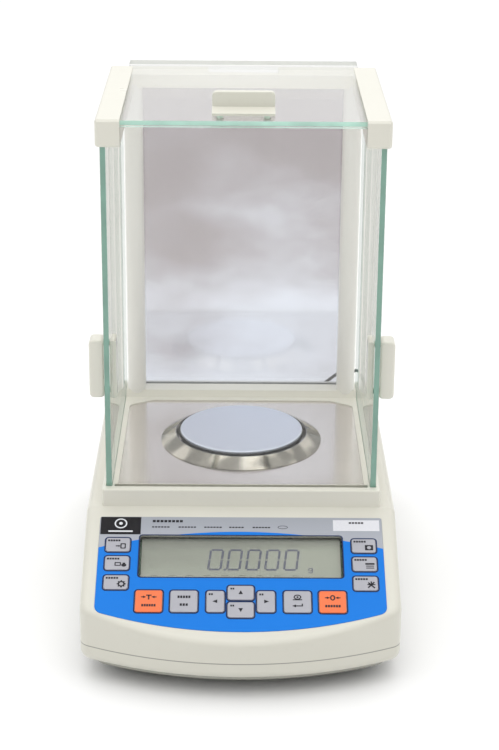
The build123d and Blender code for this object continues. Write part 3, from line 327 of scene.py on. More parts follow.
def moulded(name, colour, roughness, grain=0.012, coat=0.25, seam=None):
    """Moulded or painted surface with fine grain, clouding and a seam at one height."""
    s = Shader(name)
    cloud = s.noise(22.0, 3.0)
    fine = s.noise(2600.0, 1.0)
    scuff = s.noise(260.0, 4.0).over(0.60, 0.78)
    base = s.mix(cloud * 0.5, shade(colour, 1.02), shade(colour, 0.94))
    base = s.mix(scuff * 0.12, base, shade(colour, 0.80))
    if seam:
        line = abs(s.xyz()[2] - seam).over(SEAM_REACH, SEAM_CORE)
        base = s.mix(line * 0.75, base, shade(colour, 0.22))
    return s.finish(s.surface({
        "Base Color": base,
        "Roughness": roughness + (cloud - 0.5) * 0.12 + scuff * 0.08,
        "Coat Weight": coat,
        "Coat Roughness": 0.18,
        "Normal": s.bump(fine, grain * MM, 0.6),
    }))


def pane_glass(name, axis, tint, edge, pale=None, mirror_floor=0.035, far_edge=None):
    """Thin clear pane with green polished edges; its foot or far edge may be paler."""
    s = Shader(name)
    through = s.facing(axis).over(*EDGE_ON)
    smear = s.noise(9.0, 3.0).over(0.45, 0.75)
    clear = s.add("ShaderNodeBsdfTransparent", sockets={"Color": tint})
    if pale:
        waves = s.noise(9.0, 4.0, s.stretched((1.0, 1.0, 1.8)))
        height = s.xyz()[2] + (waves - 0.5) * PALE_WAVE
        foot = s.add("ShaderNodeBsdfTransparent", sockets={"Color": pale})
        clear = s.between(height.over(*PALE_FOOT), clear, foot)
    gloss = s.add("ShaderNodeBsdfGlossy", sockets={
        "Color": WHITE, "Roughness": 0.02 + smear * 0.03})
    face = s.between(s.mirror(mirror_floor, 0.9), clear, gloss)
    streak = s.noise(60.0, 3.0)
    rim = s.mix(streak, shade(edge, 0.72), shade(edge, 1.25))
    if far_edge:
        rim = s.mix(s.xyz()[1].over(0.0, 0.05), rim, far_edge)
    border = s.surface({
        "Base Color": rim,
        "Roughness": 0.12 + streak * 0.1,
        "Coat Weight": 1.0,
        "Coat Roughness": 0.05,
    })
    return s.finish(s.between(through, border, face))


def drawn_metal(name, colour, roughness, scales, depth=0.004, metallic=1.0):
    """Metal with fine drawn lines along the axis of the smallest scale."""
    s = Shader(name)
    lines = s.noise(1.0, 3.0, s.stretched(scales))
    cloud = s.noise(30.0, 2.0)
    return s.finish(s.surface({
        "Base Color": s.mix(lines * 0.4 + cloud * 0.3, shade(colour, 1.04), shade(colour, 0.86)),
        "Metallic": metallic,
        "Roughness": roughness + (lines - 0.5) * 0.10 + (cloud - 0.5) * 0.06,
        "Normal": s.bump(lines, depth * MM, 0.5),
    }))


def turned_metal(name, node, colour, roughness, pitch, depth=0.003, metallic=1.0):
    """Metal with fine rings around the upright middle of a node, and a smoother, fully metallic rim
    whose darker colour is painted shade.
    """
    s = Shader(name)
    _, _, radius = s.around(node)
    rings = s.add("ShaderNodeTexNoise", {"noise_dimensions": "1D"}, {
        "W": radius / pitch, "Scale": 1.0, "Detail": 2.0})
    cloud = s.noise(35.0, 2.0)
    # Rim and sides that don't face up are smoother and fully metallic, and their colour is darkened
    # as painted shade.
    rim = s.facing(2).over(0.9, 0.4)
    base = s.mix(rings * 0.5 + cloud * 0.2, shade(colour, 1.03), shade(colour, 0.88))
    return s.finish(s.surface({
        "Base Color": s.mix(rim, base, shade(colour, 0.4)),
        "Metallic": metallic + rim * (1.0 - metallic),
        "Roughness": roughness - rim * 0.25 + (rings - 0.5) * 0.12 + (cloud - 0.5) * 0.06,
        "Normal": s.bump(rings, depth * MM, 0.5),
    }))


def polished_metal(name, colour):
    """Mirror-like metal with painted dark and pale reflection patches in its colour, and smears
    from handling.
    """
    s = Shader(name)
    # Painted reflection: large dark and pale patches in the metal's colour.
    painted_reflection = s.noise(48.0, 1.0).over(0.40, 0.62)
    smear = s.noise(140.0, 4.0)
    base = s.mix(painted_reflection, shade(colour, 0.28), shade(colour, 1.05))
    return s.finish(s.surface({
        "Base Color": s.mix(smear * 0.3, base, shade(colour, 0.8)),
        "Metallic": 1.0,
        "Roughness": 0.07 + smear * 0.07,
    }))


def rubbery(name, colour, roughness):
    """Soft black jacket, rubber or dull plastic."""
    s = Shader(name)
    grain = s.noise(1800.0, 2.0)
    dust = s.noise(70.0, 4.0).over(0.5, 0.8)
    return s.finish(s.surface({
        "Base Color": s.mix(dust * 0.25, colour, shade(colour, 2.4)),
        "Roughness": roughness + dust * 0.15,
        "Normal": s.bump(grain, 0.01 * MM, 0.5),
    }))


def ink_finish(name, colour, roughness=0.45):
    """Screen-printed ink, a little uneven in its cover."""
    s = Shader(name)
    cover = s.noise(900.0, 2.0)
    return s.finish(s.surface({
        "Base Color": s.mix(cover * 0.35, colour, shade(colour, 1.5)),
        "Roughness": roughness + cover * 0.1,
        "Specular IOR Level": 0.2,
    }))


def circuit_board(name):
    """Green board with copper tracks under its mask."""
    s = Shader(name)
    tracks = s.add("ShaderNodeTexBrick", sockets={
        "Vector": s.place, "Scale": 140.0, "Mortar Size": 0.03}, output="Fac")
    return s.finish(s.surface({
        "Base Color": s.mix(tracks, BOARD_MASK, BOARD_TRACK),
        "Roughness": 0.3 + tracks * 0.1,
        "Coat Weight": 0.5,
    }))


# ------------------------------------------------------------ control panel
def press_axis():
    """Direction in which the keys are pressed, into the panel."""
    for joint in frame["joints"]:
        if joint["name"] == "key_up_arrow_press":
            return Vector(joint["axis"]).normalized()
    raise ValueError("the frame has no key_up_arrow_press joint")


OUTWARD = -press_axis()
UPWARD = Vector((0.0, OUTWARD.z, -OUTWARD.y))
ACROSS = Vector((1.0, 0.0, 0.0))


def panel_patch(node, depth=0.5 * MM):
    """Middle and size of a node's top face: across, up the panel and outward."""
    corners = [vertex.co for vertex in NODES[node].data.vertices]
    top = max(corner.dot(OUTWARD) for corner in corners)
    face = [corner for corner in corners if corner.dot(OUTWARD) > top - depth]
    xs = [corner.dot(ACROSS) for corner in face]
    ups = [corner.dot(UPWARD) for corner in face]
    middle = ACROSS * (min(xs) + max(xs)) / 2 + UPWARD * (min(ups) + max(ups)) / 2 + OUTWARD * top
    return middle, max(xs) - min(xs), max(ups) - min(ups)


def panel_plane(middle):
    """Frame on the panel: x across, y up the panel, z outward."""
    columns = Matrix((ACROSS, UPWARD, OUTWARD)).transposed().to_4x4()
    return Matrix.Translation(middle) @ columns


WINDOW_MIDDLE, WINDOW_WIDTH, WINDOW_HEIGHT = panel_patch("display_window")
BAND_LINE = 20.7 * MM       # middle of the grey band's lower line, above the window's middle
BAND_BOW = 1.58             # drop of that line in metres, per square metre across
BAND_TOP = 34.0 * MM        # top of the grey band, above the window's middle
BAND_BLUR = 0.15 * MM       # half of the width over which grey turns into blue


def up_panel(s):
    """Fields of the place across and up the panel, from the window's middle."""
    x, y, z = s.xyz()
    return x, (y - WINDOW_MIDDLE.y) * UPWARD.y + (z - WINDOW_MIDDLE.z) * UPWARD.z


def foil_finish(blue, band):
    """Printed foil: grey band above a bowed line, blue field below it."""
    s = Shader("control_foil")
    x, up = up_panel(s)
    line = BAND_LINE - BAND_BOW * x * x
    upper = (up - line).over(-BAND_BLUR, BAND_BLUR)
    grain = s.noise(3200.0, 1.0)
    cloud = s.noise(25.0, 2.0)
    field = s.mix(cloud, shade(blue, 0.96), shade(blue, 1.04))
    top = s.mix((up / BAND_TOP).over(0.4, 1.0), shade(band, 1.02), shade(band, 0.92))
    return s.finish(s.surface({
        "Base Color": s.mix(upper, field, top),
        "Roughness": 0.5 + (cloud - 0.5) * 0.1,
        "Specular IOR Level": 0.18,
        "Normal": s.bump(grain, 0.006 * MM, 0.5),
    }))


def key_finish(name, colour):
    """Satin key, clouded by use."""
    s = Shader(name)
    grain = s.noise(2400.0, 1.0)
    cloud = s.noise(120.0, 3.0)
    return s.finish(s.surface({
        "Base Color": s.mix(cloud, shade(colour, 0.94), shade(colour, 1.05)),
        "Roughness": 0.4 + (cloud - 0.5) * 0.15,
        "Coat Weight": 0.1,
        "Normal": s.bump(grain, 0.008 * MM, 0.5),
    }))


def rounded(width, height, radius, x=0.0, y=0.0, steps=6):
    """Outline of a rounded rectangle, in millimetres."""
    points = []
    for corner, (right, up) in enumerate(((1, 1), (-1, 1), (-1, -1), (1, -1))):
        middle = (x + right * (width / 2 - radius), y + up * (height / 2 - radius))
        for step in range(steps + 1):
            angle = math.pi / 2 * (corner + step / steps)
            points.append((middle[0] + radius * math.cos(angle),
                           middle[1] + radius * math.sin(angle)))
    return points


def oval(width, height, x=0.0, y=0.0, steps=28):
    """Outline of an ellipse, in millimetres."""
    angles = [2 * math.pi * step / steps for step in range(steps)]
    return [(x + width / 2 * math.cos(angle), y + height / 2 * math.sin(angle))
            for angle in angles]


def oblong(x, y, width, height):
    """Outline of an upright rectangle about its middle, in millimetres."""
    half_x, half_y = width / 2, height / 2
    return [(x - half_x, y - half_y), (x + half_x, y - half_y),
            (x + half_x, y + half_y), (x - half_x, y + half_y)]


def stroke(start, end, width):
    """Outline of a straight stroke between two points, in millimetres."""
    along = (Vector(end) - Vector(start)).normalized()
    side = Vector((-along.y, along.x)) * width / 2
    start, end = Vector(start), Vector(end)
    return [tuple(start - side), tuple(end - side), tuple(end + side), tuple(start + side)]


def triangle(x, y, size, angle):
    """Outline of an arrowhead that points along an angle, in millimetres."""
    return [(x + size * math.cos(angle + turn), y + size * math.sin(angle + turn))
            for turn in (0.0, math.radians(130), math.radians(-130))]


class Print:
    """Flat shapes, gathered in millimetres and laid on a plane as thin solids."""

    def __init__(self):
        self.shapes = []

    def fill(self, *outlines):
        self.shapes += [(outline, None) for outline in outlines]
        return self

    def ring(self, outer, inner):
        """Add the strip between two outlines of as many points."""
        self.shapes.append((outer, inner))
        return self

    def oval_line(self, width, height, line, x=0.0, y=0.0):
        """Add an oval line of a given width."""
        return self.ring(oval(width, height, x, y),
                         oval(width - 2 * line, height - 2 * line, x, y))

    def lay(self, name, body, material, plane, lift=INK_LIFT, thickness=INK):
        """Make the shapes one piece that rides on a body."""
        mesh = bmesh.new()
        for outer, inner in self.shapes:
            loops = [outer] if inner is None else [outer, inner]
            low = [[mesh.verts.new(plane @ Vector((x * MM, y * MM, lift))) for x, y in loop]
                   for loop in loops]
            high = [[mesh.verts.new(plane @ Vector((x * MM, y * MM, lift + thickness)))
                     for x, y in loop] for loop in loops]
            count = len(outer)
            for index in range(count):
                after = (index + 1) % count
                mesh.faces.new((low[0][index], low[0][after], high[0][after], high[0][index]))
                if inner:
                    mesh.faces.new((low[1][after], low[1][index], high[1][index], high[1][after]))
                    mesh.faces.new((high[0][index], high[0][after], high[1][after],
                                    high[1][index]))
                    mesh.faces.new((low[0][after], low[0][index], low[1][index], low[1][after]))
            if not inner:
                mesh.faces.new(high[0])
                mesh.faces.new(low[0][::-1])
        bmesh.ops.recalc_face_normals(mesh, faces=mesh.faces)
        return piece(name, body, material, mesh)


def piece(name, body, material, mesh):
    """Make an object of a bmesh, give it its finish and set it on a body."""
    data = bpy.data.meshes.new(name)
    mesh.to_mesh(data)
    mesh.free()
    data.materials.append(material)
    thing = bpy.data.objects.new(name, data)
    bpy.context.scene.collection.objects.link(thing)
    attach(thing, body)
    return thing


# Lines around the keys and the window, in millimetres
PANEL_LINE = 0.85           # width of a line
CORNER_DROP = 0.8           # by which its inner corner's radius is smaller than its outer one
KEY_LINE = (2.3, 2.7)       # outer line's growth over a key's size, and its corner's radius
WINDOW_LINE = (0.2, 2.6)    # the same for the window


def panel_line(width, height, growth, radius, x=0.0, up=0.0):
    """Outer and inner outline of the line around something on the panel."""
    hole = growth - 2 * PANEL_LINE
    return (rounded(width / MM + growth, height / MM + growth, radius, x, up),
            rounded(width / MM + hole, height / MM + hole, radius - CORNER_DROP, x, up))


def print_key_outlines(material):
    """Dark line on the foil around every key."""
    lines = Print()
    for name in PANEL_KEYS:
        middle, width, height = panel_patch(name)
        offset = middle - WINDOW_MIDDLE
        x, up = offset.dot(ACROSS) / MM, offset.dot(UPWARD) / MM
        lines.ring(*panel_line(width, height, *KEY_LINE, x, up))
    lines.lay("key_outlines", "housing", material, panel_plane(WINDOW_MIDDLE))


def print_window_border(material):
    """Dark line around the display's window."""
    border = Print().ring(*panel_line(WINDOW_WIDTH, WINDOW_HEIGHT, *WINDOW_LINE))
    border.lay("window_border", "housing", material, panel_plane(WINDOW_MIDDLE))


def tare_arrows(y):
    """Two short arrows that point at a sign between them."""
    shapes = []
    for side in (-1, 1):
        shapes.append(stroke((side * 5.0, y), (side * 3.0, y), 0.7))
        shapes.append(triangle(side * 2.9, y, 1.25, 0.0 if side < 0 else math.pi))
    return shapes


def word(x, y, width, height, parts):
    """Row of blocks that stands for a printed word."""
    step = width / parts
    return [oblong(x + step * (index + 0.5) - width / 2, y, step * 0.78, height)
            for index in range(parts)]


def legend_shapes():
    """Legend of each key, as a print in the key's own frame, in millimetres."""
    legends = {name.removeprefix("key_"): Print() for name in PANEL_KEYS}
    for name, legend in legends.items():
        if name[-1].isdigit():
            legend.fill(*word(-2.6, 3.4, 8.4, 1.5, 5))
    sheet, pad, cog = legends["left_1"], legends["left_2"], legends["left_3"]
    sheet.ring(rounded(3.6, 4.4, 0.6, 3.4, -1.2), rounded(2.0, 2.8, 0.4, 3.4, -1.2))
    sheet.fill(stroke((-1.4, -1.2), (0.6, -1.2), 0.8), triangle(1.0, -1.2, 1.0, 0.0))
    pad.ring(rounded(4.2, 3.0, 0.5, 0.6, -1.0), rounded(2.8, 1.6, 0.3, 0.6, -1.0))
    pad.fill(oval(3.4, 2.6, 4.6, -1.9), oblong(4.6, -0.4, 1.6, 1.0))
    cog.oval_line(4.6, 4.6, 1.0, 3.6, -1.4)
    for tooth in range(8):
        angle = math.pi / 4 * tooth
        root, tip = [(3.6 + reach * math.cos(angle), -1.4 + reach * math.sin(angle))
                     for reach in (2.1, 2.9)]
        cog.fill(stroke(root, tip, 1.0))
    lamp, lines, star = legends["right_1"], legends["right_2"], legends["right_3"]
    lamp.ring(rounded(5.4, 4.4, 0.4, 3.4, -1.6), oval(2.6, 2.6, 3.4, -1.6))
    lines.fill(oblong(3.4, 0.1, 6.0, 1.4))
    for row in range(2):
        lines.fill(oblong(3.4, -1.7 - 1.6 * row, 5.2, 0.7))
    star.fill(stroke((1.4, -3.6), (5.6, 1.0), 1.0), stroke((1.6, 0.6), (5.8, -3.8), 1.0))
    star.fill(stroke((3.6, 1.6), (3.6, -2.0), 0.9), stroke((1.0, -1.0), (6.2, -1.0), 0.8))
    tare, zero = legends["left_tare"], legends["right_tare"]
    tare.fill(*tare_arrows(3.2), oblong(0.0, 4.6, 3.4, 0.9), oblong(0.0, 2.9, 0.9, 3.4))
    tare.fill(*word(0.0, -3.4, 9.4, 1.9, 6))
    zero.fill(*tare_arrows(3.2)).oval_line(3.4, 4.4, 0.9, 0.0, 3.2)
    zero.fill(*word(0.0, -3.4, 10.2, 1.9, 6))
    units, enter = legends["left_menu"], legends["right_menu"]
    units.fill(*word(0.0, 3.4, 8.6, 2.0, 5), *word(0.0, -2.8, 5.6, 1.9, 3))
    enter.oval_line(5.0, 4.0, 0.8, 0.0, 3.6)
    enter.fill(oval(1.4, 1.4, 0.0, 3.6), oblong(0.0, 1.5, 6.0, 0.8))
    enter.fill(stroke((3.0, -1.6), (3.0, -3.6), 0.8), stroke((3.4, -3.4), (-1.6, -3.4), 0.8))
    enter.fill(triangle(-2.0, -3.4, 1.5, math.pi))
    for name, angle in (("left", math.pi), ("right", 0.0)):
        legends[f"{name}_arrow"].fill(triangle(0.0, 0.0, 1.9, angle), *word(-3.0, 5.6, 3.0, 1.5, 2))
    for name, angle in (("up", math.pi / 2), ("down", -math.pi / 2)):
        legends[f"{name}_arrow"].fill(triangle(0.0, 0.0, 1.9, angle), *word(-5.4, 3.2, 2.8, 1.4, 2))
    return legends


def print_legends(material):
    """Legends on the keys' faces."""
    for name, legend in legend_shapes().items():
        middle, _, _ = panel_patch(f"key_{name}")
        legend.lay(f"legend_{name}", f"key_{name}", material, panel_plane(middle))


def foil_middle():
    """Middle of the foil's surface, level with the window's middle."""
    corners = [vertex.co.dot(OUTWARD) for vertex in NODES["control_overlay"].data.vertices]
    return WINDOW_MIDDLE + OUTWARD * (max(corners) - WINDOW_MIDDLE.dot(OUTWARD))


# Places on the grey band, from the window's middle, in millimetres
BADGE = (-79.4, 25.4, 26.6, 14.8)       # middle and size of the black badge
EMBLEM_UP = 27.2                        # height of the badge's emblem
LABEL = (76.2, 26.4, 30.6, 9.2)         # middle and size of the pale label
TITLE = (-48.5, 29.4, 20.5, 2.0, 8)     # middle, size and parts of the upper row's word
RATINGS_UP = 24.4                       # height of the lower row, then its words:
RATINGS = ((-53.0, 12.0, 6), (-35.5, 12.0, 6), (-18.5, 12.0, 6), (-3.0, 10.0, 5), (13.5, 12.0, 6))


def print_band(ink, black, white, pale):
    """Badge, label and rows of marks on the foil's grey band."""
    plane = panel_plane(foil_middle())
    across = BADGE[0]
    Print().fill(oblong(*BADGE)).lay("badge", "housing", black, plane)
    emblem = Print().oval_line(8.4, 8.4, 0.9, across, EMBLEM_UP)
    emblem.fill(oval(2.4, 2.4, across, EMBLEM_UP), oblong(across, 20.6, 16.0, 1.2))
    emblem.lay("badge_emblem", "housing", white, plane, OVERPRINT)
    Print().fill(oblong(*LABEL)).lay("label", "housing", pale, plane)
    bar = Print().fill(*word(LABEL[0], 28.6, 10.0, 1.4, 5))
    bar.lay("label_mark", "housing", ink, plane, OVERPRINT)
    marks = Print().fill(*word(*TITLE))
    for x, width, parts in RATINGS:
        marks.fill(*word(x, RATINGS_UP, width, 1.0, parts))
    marks.ring(oval(6.6, 2.8, 27.6, 24.6), oval(5.8, 2.1, 27.6, 24.6))
    marks.lay("band_marks", "housing", ink, plane)


# ------------------------------------------------------------------ display
# Sizes of the reading in millimetres
SEGMENT = 1.5               # width of a segment
DIGIT_WIDTH = 8.0           # between the middles of a digit's upright segments
DIGIT_HEIGHT = 16.2         # between the middles of its top and bottom segments
DIGIT_LEAN = 0.9            # how far its top leans to the right of its middle
DIGIT_GAP = 0.12            # share of half a digit left free at a segment's ends
FIRST_DIGIT = -16.4         # first digit's place across, from the display's middle
DIGIT_PITCH = 12.35         # from one digit to the next


def digit_segments(x, y):
    """Six lit segments of a nought, in millimetres."""
    def at(across, up):
        return (x + across * DIGIT_WIDTH / 2 + up * DIGIT_LEAN, y + up * DIGIT_HEIGHT / 2)

    gap = DIGIT_GAP
    ends = (((-1 + gap, 1), (1 - gap, 1)), ((1, 1 - gap / 2), (1, gap / 2)),
            ((1, -gap / 2), (1, -1 + gap / 2)), ((1 - gap, -1), (-1 + gap, -1)),
            ((-1, -1 + gap / 2), (-1, -gap / 2)), ((-1, gap / 2), (-1, 1 - gap / 2)))
    return [stroke(at(*start), at(*end), SEGMENT) for start, end in ends]


def print_digits(material):
    """Reading of zero with four decimals and its unit."""
    middle, _, _ = panel_patch("lcd_module")
    shift = (WINDOW_MIDDLE - middle).dot(UPWARD) / MM
    reading = Print()
    for index in range(5):
        reading.fill(*digit_segments(FIRST_DIGIT + DIGIT_PITCH * index, -0.5 + shift))
    reading.fill(oval(1.9, 1.9, -10.3, -8.7 + shift))
    reading.oval_line(2.9, 2.9, 0.6, 45.2, -8.4 + shift)
    reading.fill(oblong(46.5, -8.9 + shift, 0.7, 3.9), oblong(45.2, -10.9 + shift, 2.6, 0.7))
    reading.lay("display_digits", "housing", material, panel_plane(middle))


def print_status(material):
    """Faint marks around the reading that aren't lit."""
    middle, _, _ = panel_patch("lcd_module")
    marks = Print().oval_line(2.6, 2.6, 0.5, -58.0, -6.0)
    marks.fill(*word(-59.5, 7.4, 7.0, 1.3, 3), *word(34.0, 11.6, 7.6, 1.8, 3))
    for index in range(9):
        marks.fill(oblong(-56.0 + 11.4 * index, -13.6, 4.6, 0.7))
    marks.lay("display_marks", "housing", material, panel_plane(middle))


def lcd_finish(colour):
    """Reflective display with a painted shadow under its upper edge, and painted light that makes
    it paler at its foot and right.
    """
    s = Shader("display_glass")
    x, up = up_panel(s)
    shadow = up.over(4.0 * MM, 19.0 * MM)
    # Painted light: paler towards the display's foot and towards its right.
    lower = up.over(-18.0 * MM, 2.0 * MM)
    right = x.over(-60.0 * MM, 60.0 * MM)
    cells = s.noise(1500.0, 1.0)
    base = s.mix(lower, shade(colour, 1.3), shade(colour, 0.98))
    base = s.mix(right, base, shade(colour, 1.3))
    base = s.mix(shadow * 0.75, base, shade(colour, 0.42))
    return s.finish(s.surface({
        "Base Color": s.mix(cells * 0.1, base, shade(colour, 0.7)),
        "Roughness": 0.28 + cells * 0.06,
        "Coat Weight": 0.2,
    }))


def lens_finish():
    """Clear acrylic lens, thin to look through."""
    s = Shader("display_lens")
    haze = s.noise(40.0, 2.0)
    clear = s.add("ShaderNodeBsdfTransparent", sockets={"Color": LENS_TINT})
    gloss = s.add("ShaderNodeBsdfGlossy", sockets={"Roughness": 0.10 + haze * 0.06})
    return s.finish(s.between(s.mirror(0.03, 0.85), clear, gloss))


# ------------------------------------------------------------- rear sockets
SERIAL_HALF = 15.5 * MM     # first serial socket's middle, from the sockets' low side
SERIAL_PITCH = 36.0 * MM    # between the two serial sockets
PIN_PITCH = 2.76 * MM       # between the pins of a row
PIN_ROW = 1.42 * MM         # each row's distance from the socket's middle
PIN_RADIUS = 0.5 * MM
PIN_LENGTH = 2.2 * MM
PIN_DEPTH = 0.5 * MM        # a pin's middle lies this far inside the shell
POST_PLACE = 12.5 * MM      # a post's distance from the socket's middle
POST_RADIUS = 1.3 * MM
POST_LENGTH = 3.4 * MM
POST_DEPTH = 0.1 * MM       # a post's middle lies this far inside the shell


def cylinder_along_y(mesh, place, radius, length, sides):
    """Round or many-sided pin along the Y axis."""
    turn = Matrix.Rotation(math.pi / 2, 4, "X")
    bmesh.ops.create_cone(
        mesh, cap_ends=True, segments=sides, radius1=radius, radius2=radius, depth=length,
        matrix=Matrix.Translation(place) @ turn)


def make_socket_pins(gold, steel):
    """Nine pins in each serial socket and its two hexagonal posts."""
    low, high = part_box("data_ports")
    z = (low.z + high.z) / 2
    pins = bmesh.new()
    posts = bmesh.new()
    for x in (low.x + SERIAL_HALF, low.x + SERIAL_HALF + SERIAL_PITCH):
        for side, count in ((1, 5), (-1, 4)):
            for index in range(count):
                across = (index - (count - 1) / 2) * PIN_PITCH
                place = (x + across, high.y - PIN_DEPTH, z + side * PIN_ROW)
                cylinder_along_y(pins, place, PIN_RADIUS, PIN_LENGTH, 12)
        for side in (-1, 1):
            place = (x + side * POST_PLACE, high.y - POST_DEPTH, z)
            cylinder_along_y(posts, place, POST_RADIUS, POST_LENGTH, 6)
    piece("socket_pins", "housing", gold, pins)
    piece("socket_posts", "housing", steel, posts)


def socket_finish():
    """Nickel shell around a dark insert."""
    _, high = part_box("data_ports")
    s = Shader("socket_shell")
    inner = (high.y - s.xyz()[1]).over(0.55 * MM, 0.75 * MM)
    cloud = s.noise(90.0, 3.0)
    return s.finish(s.surface({
        "Base Color": s.mix(inner, s.mix(cloud, *SHELL_NICKEL), PORT_BLACK),
        "Metallic": 1.0 - inner,
        "Roughness": 0.3 + inner * 0.2 + cloud * 0.08,
    }))


VIAL_RING = 3.1 * MM        # radius of the bubble level's centring ring
BUBBLE_PLACE = (0.5 * MM, -0.4 * MM)    # bubble's middle, from the level's


def vial_finish():
    """Bubble level: green spirit, centring ring and a pale bubble."""
    s = Shader("level_vial")
    across, along, radius = s.around("level_vial")
    rim = radius.over(6.7 * MM, 6.9 * MM)
    ring = abs(radius - VIAL_RING).over(0.35 * MM, 0.2 * MM)
    shift_x = across - BUBBLE_PLACE[0]
    shift_y = along - BUBBLE_PLACE[1]
    bubble = (shift_x * shift_x + shift_y * shift_y).root().over(2.35 * MM, 2.1 * MM)
    glint = s.noise(300.0, 2.0)
    base = s.mix(glint, *VIAL_SPIRIT)
    base = s.mix(bubble * 0.8, base, VIAL_BUBBLE)
    base = s.mix(ring, base, VIAL_INK)
    return s.finish(s.surface({
        "Base Color": s.mix(rim, base, VIAL_COLLAR),
        "Roughness": 0.12 + glint * 0.05,
        "Coat Weight": 1.0,
        "Coat Roughness": 0.03,
    }))


# --------------------------------------------------------------- power cord
CORD_EXIT = (0.04632, 0.17447, 0.06732)
CORD_ROUTE = [
    CORD_EXIT,
    (0.0514, 0.1745, 0.0726),
    (0.0594, 0.1749, 0.0784),
    (0.0674, 0.1754, 0.0844),
    (0.0770, 0.1764, 0.0918),
    (0.0845, 0.1785, 0.0931),
    (0.0914, 0.1815, 0.0904),
    (0.0958, 0.1845, 0.0846),
    (0.0992, 0.1870, 0.0735),
    (0.0986, 0.1915, 0.0540),
    (0.0950, 0.1995, 0.0280),
    (0.0880, 0.2100, 0.0085),
    (0.0770, 0.2195, 0.0019),
    (0.0635, 0.2240, 0.0013),
    (0.0500, 0.2244, 0.0013),
    (0.0395, 0.2222, 0.0013),
    (0.0295, 0.2216, 0.0013),
]
TURN_POINTS = 16            # route points in one turn of the coil
LAYERS = 4                  # layers of turns in the coil, one above the other
RISE = 0.15                 # share of a turn in which the cord climbs a layer
LEAD_TUCK = 0.3 * MM        # the lead's end reaches this far into the adapter's relief
RELIEF_HEIGHT = 8.0 * MM    # middle of the adapter's relief above the bench
TIE_ANGLE = math.radians(20)    # place of the tie round the coil
TIE_WIDTH = 4.0             # width, thickness, corner and slack of the tie, in millimetres
TIE_LAYER = 0.4
TIE_CORNER = 2.2
TIE_SLACK = 0.7
LABEL_PLACE = 47.0 * MM     # middle of the adapter's label, from the adapter's low end


def coil_turns(cord):
    """Route points of the coil: layers of turns, wound inward and outward in turn."""
    low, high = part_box("cord_coil")
    centre = (low + high) / 2
    floor = CORD_ROUTE[-1][2]
    sweep = (cord.turns - RISE * (LAYERS - 1)) / LAYERS
    spread = 1.0 / math.cos(math.pi / TURN_POINTS)
    points = []
    for number in range(cord.turns * TURN_POINTS + 1):
        turn = number / TURN_POINTS
        layer = min(int(turn / (sweep + RISE)), LAYERS - 1)
        along = turn - layer * (sweep + RISE)
        share = min(along / sweep, 1.0)
        inward = share if layer % 2 == 0 else 1.0 - share
        radius = (cord.coil_outer + (cord.coil_inner - cord.coil_outer) * inward) * spread
        climb = layer + max(along - sweep, 0.0) / RISE
        angle = -math.pi / 2 - 2 * math.pi * turn
        points.append((centre.x + radius * math.cos(angle), centre.y + radius * math.sin(angle),
                       floor + climb * cord.diameter))
    return points


def make_cord_curve(cord, material):
    """The lead, from the plug's relief through the coil to the adapter."""
    _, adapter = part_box("power_adapter")
    coil = coil_turns(cord)
    x, y, z = coil[-1]
    leaving = (x - 4.5 * MM, y + 0.1 * MM, z - 0.3 * MM)
    end = (adapter.x - LEAD_TUCK, y + LEAD_TUCK, RELIEF_HEIGHT)
    points = CORD_ROUTE + coil + [leaving, end]
    curve = bpy.data.curves.new("power_lead", "CURVE")
    curve.dimensions = "3D"
    spline = curve.splines.new("NURBS")
    spline.points.add(len(points) - 1)
    for slot, place in zip(spline.points, points):
        slot.co = (*place, 1.0)
    spline.order_u = 3
    spline.use_endpoint_u = True
    spline.resolution_u = 6
    curve.bevel_depth = cord.diameter / 2
    curve.bevel_resolution = 5
    curve.use_fill_caps = True
    curve.materials.append(material)
    lead = bpy.data.objects.new("power_lead", curve)
    bpy.context.scene.collection.objects.link(lead)
    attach(lead, "housing")
    return lead


def make_tie(cord, material):
    """Flat tie around the coil's turns at one place."""
    low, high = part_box("cord_coil")
    centre = (low + high) / 2
    outward = Vector((math.cos(TIE_ANGLE), math.sin(TIE_ANGLE), 0.0))
    side = Vector((-outward.y, outward.x, 0.0))
    middle = (cord.coil_inner + cord.coil_outer) / 2 / MM
    width = (cord.coil_outer - cord.coil_inner + cord.diameter) / MM + TIE_SLACK
    height = high.z / MM
    outer, inner = [
        rounded(width - 2 * layer, height - 2 * layer, TIE_CORNER - layer, middle, height / 2)
        for layer in (0.0, TIE_LAYER)]
    origin = Vector((centre.x, centre.y, 0.0)) - side * TIE_WIDTH / 2 * MM
    upright = Matrix((outward, Vector((0.0, 0.0, 1.0)), side)).transposed().to_4x4()
    plane = Matrix.Translation(origin) @ upright
    tie = Print().ring(outer, inner)
    return tie.lay("coil_tie", "housing", material, plane, 0.0, TIE_WIDTH * MM)


def make_adapter_label(material, ink):
    """Plain rating plate with ruled lines on top of the adapter's case."""
    low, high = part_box("power_adapter")
    plane = Matrix.Translation((low.x + LABEL_PLACE, (low.y + high.y) / 2, high.z))
    plate = Print().fill(rounded(36.0, 22.0, 1.5))
    plate.lay("adapter_plate", "housing", material, plane, -INK / 2)
    rules = Print()
    for row in range(4):
        short = row % 2
        rules.fill(oblong(-2.0 - 2.0 * short, 6.6 - 4.2 * row, 26.0 - 4.0 * short, 0.7))
    rules.lay("adapter_rules", "housing", ink, plane, INK / 2 - INK_LIFT)


# ---------------------------------------------------------------- operators
SENSOR_WIDTH = 36.0         # camera's sensor, in millimetres


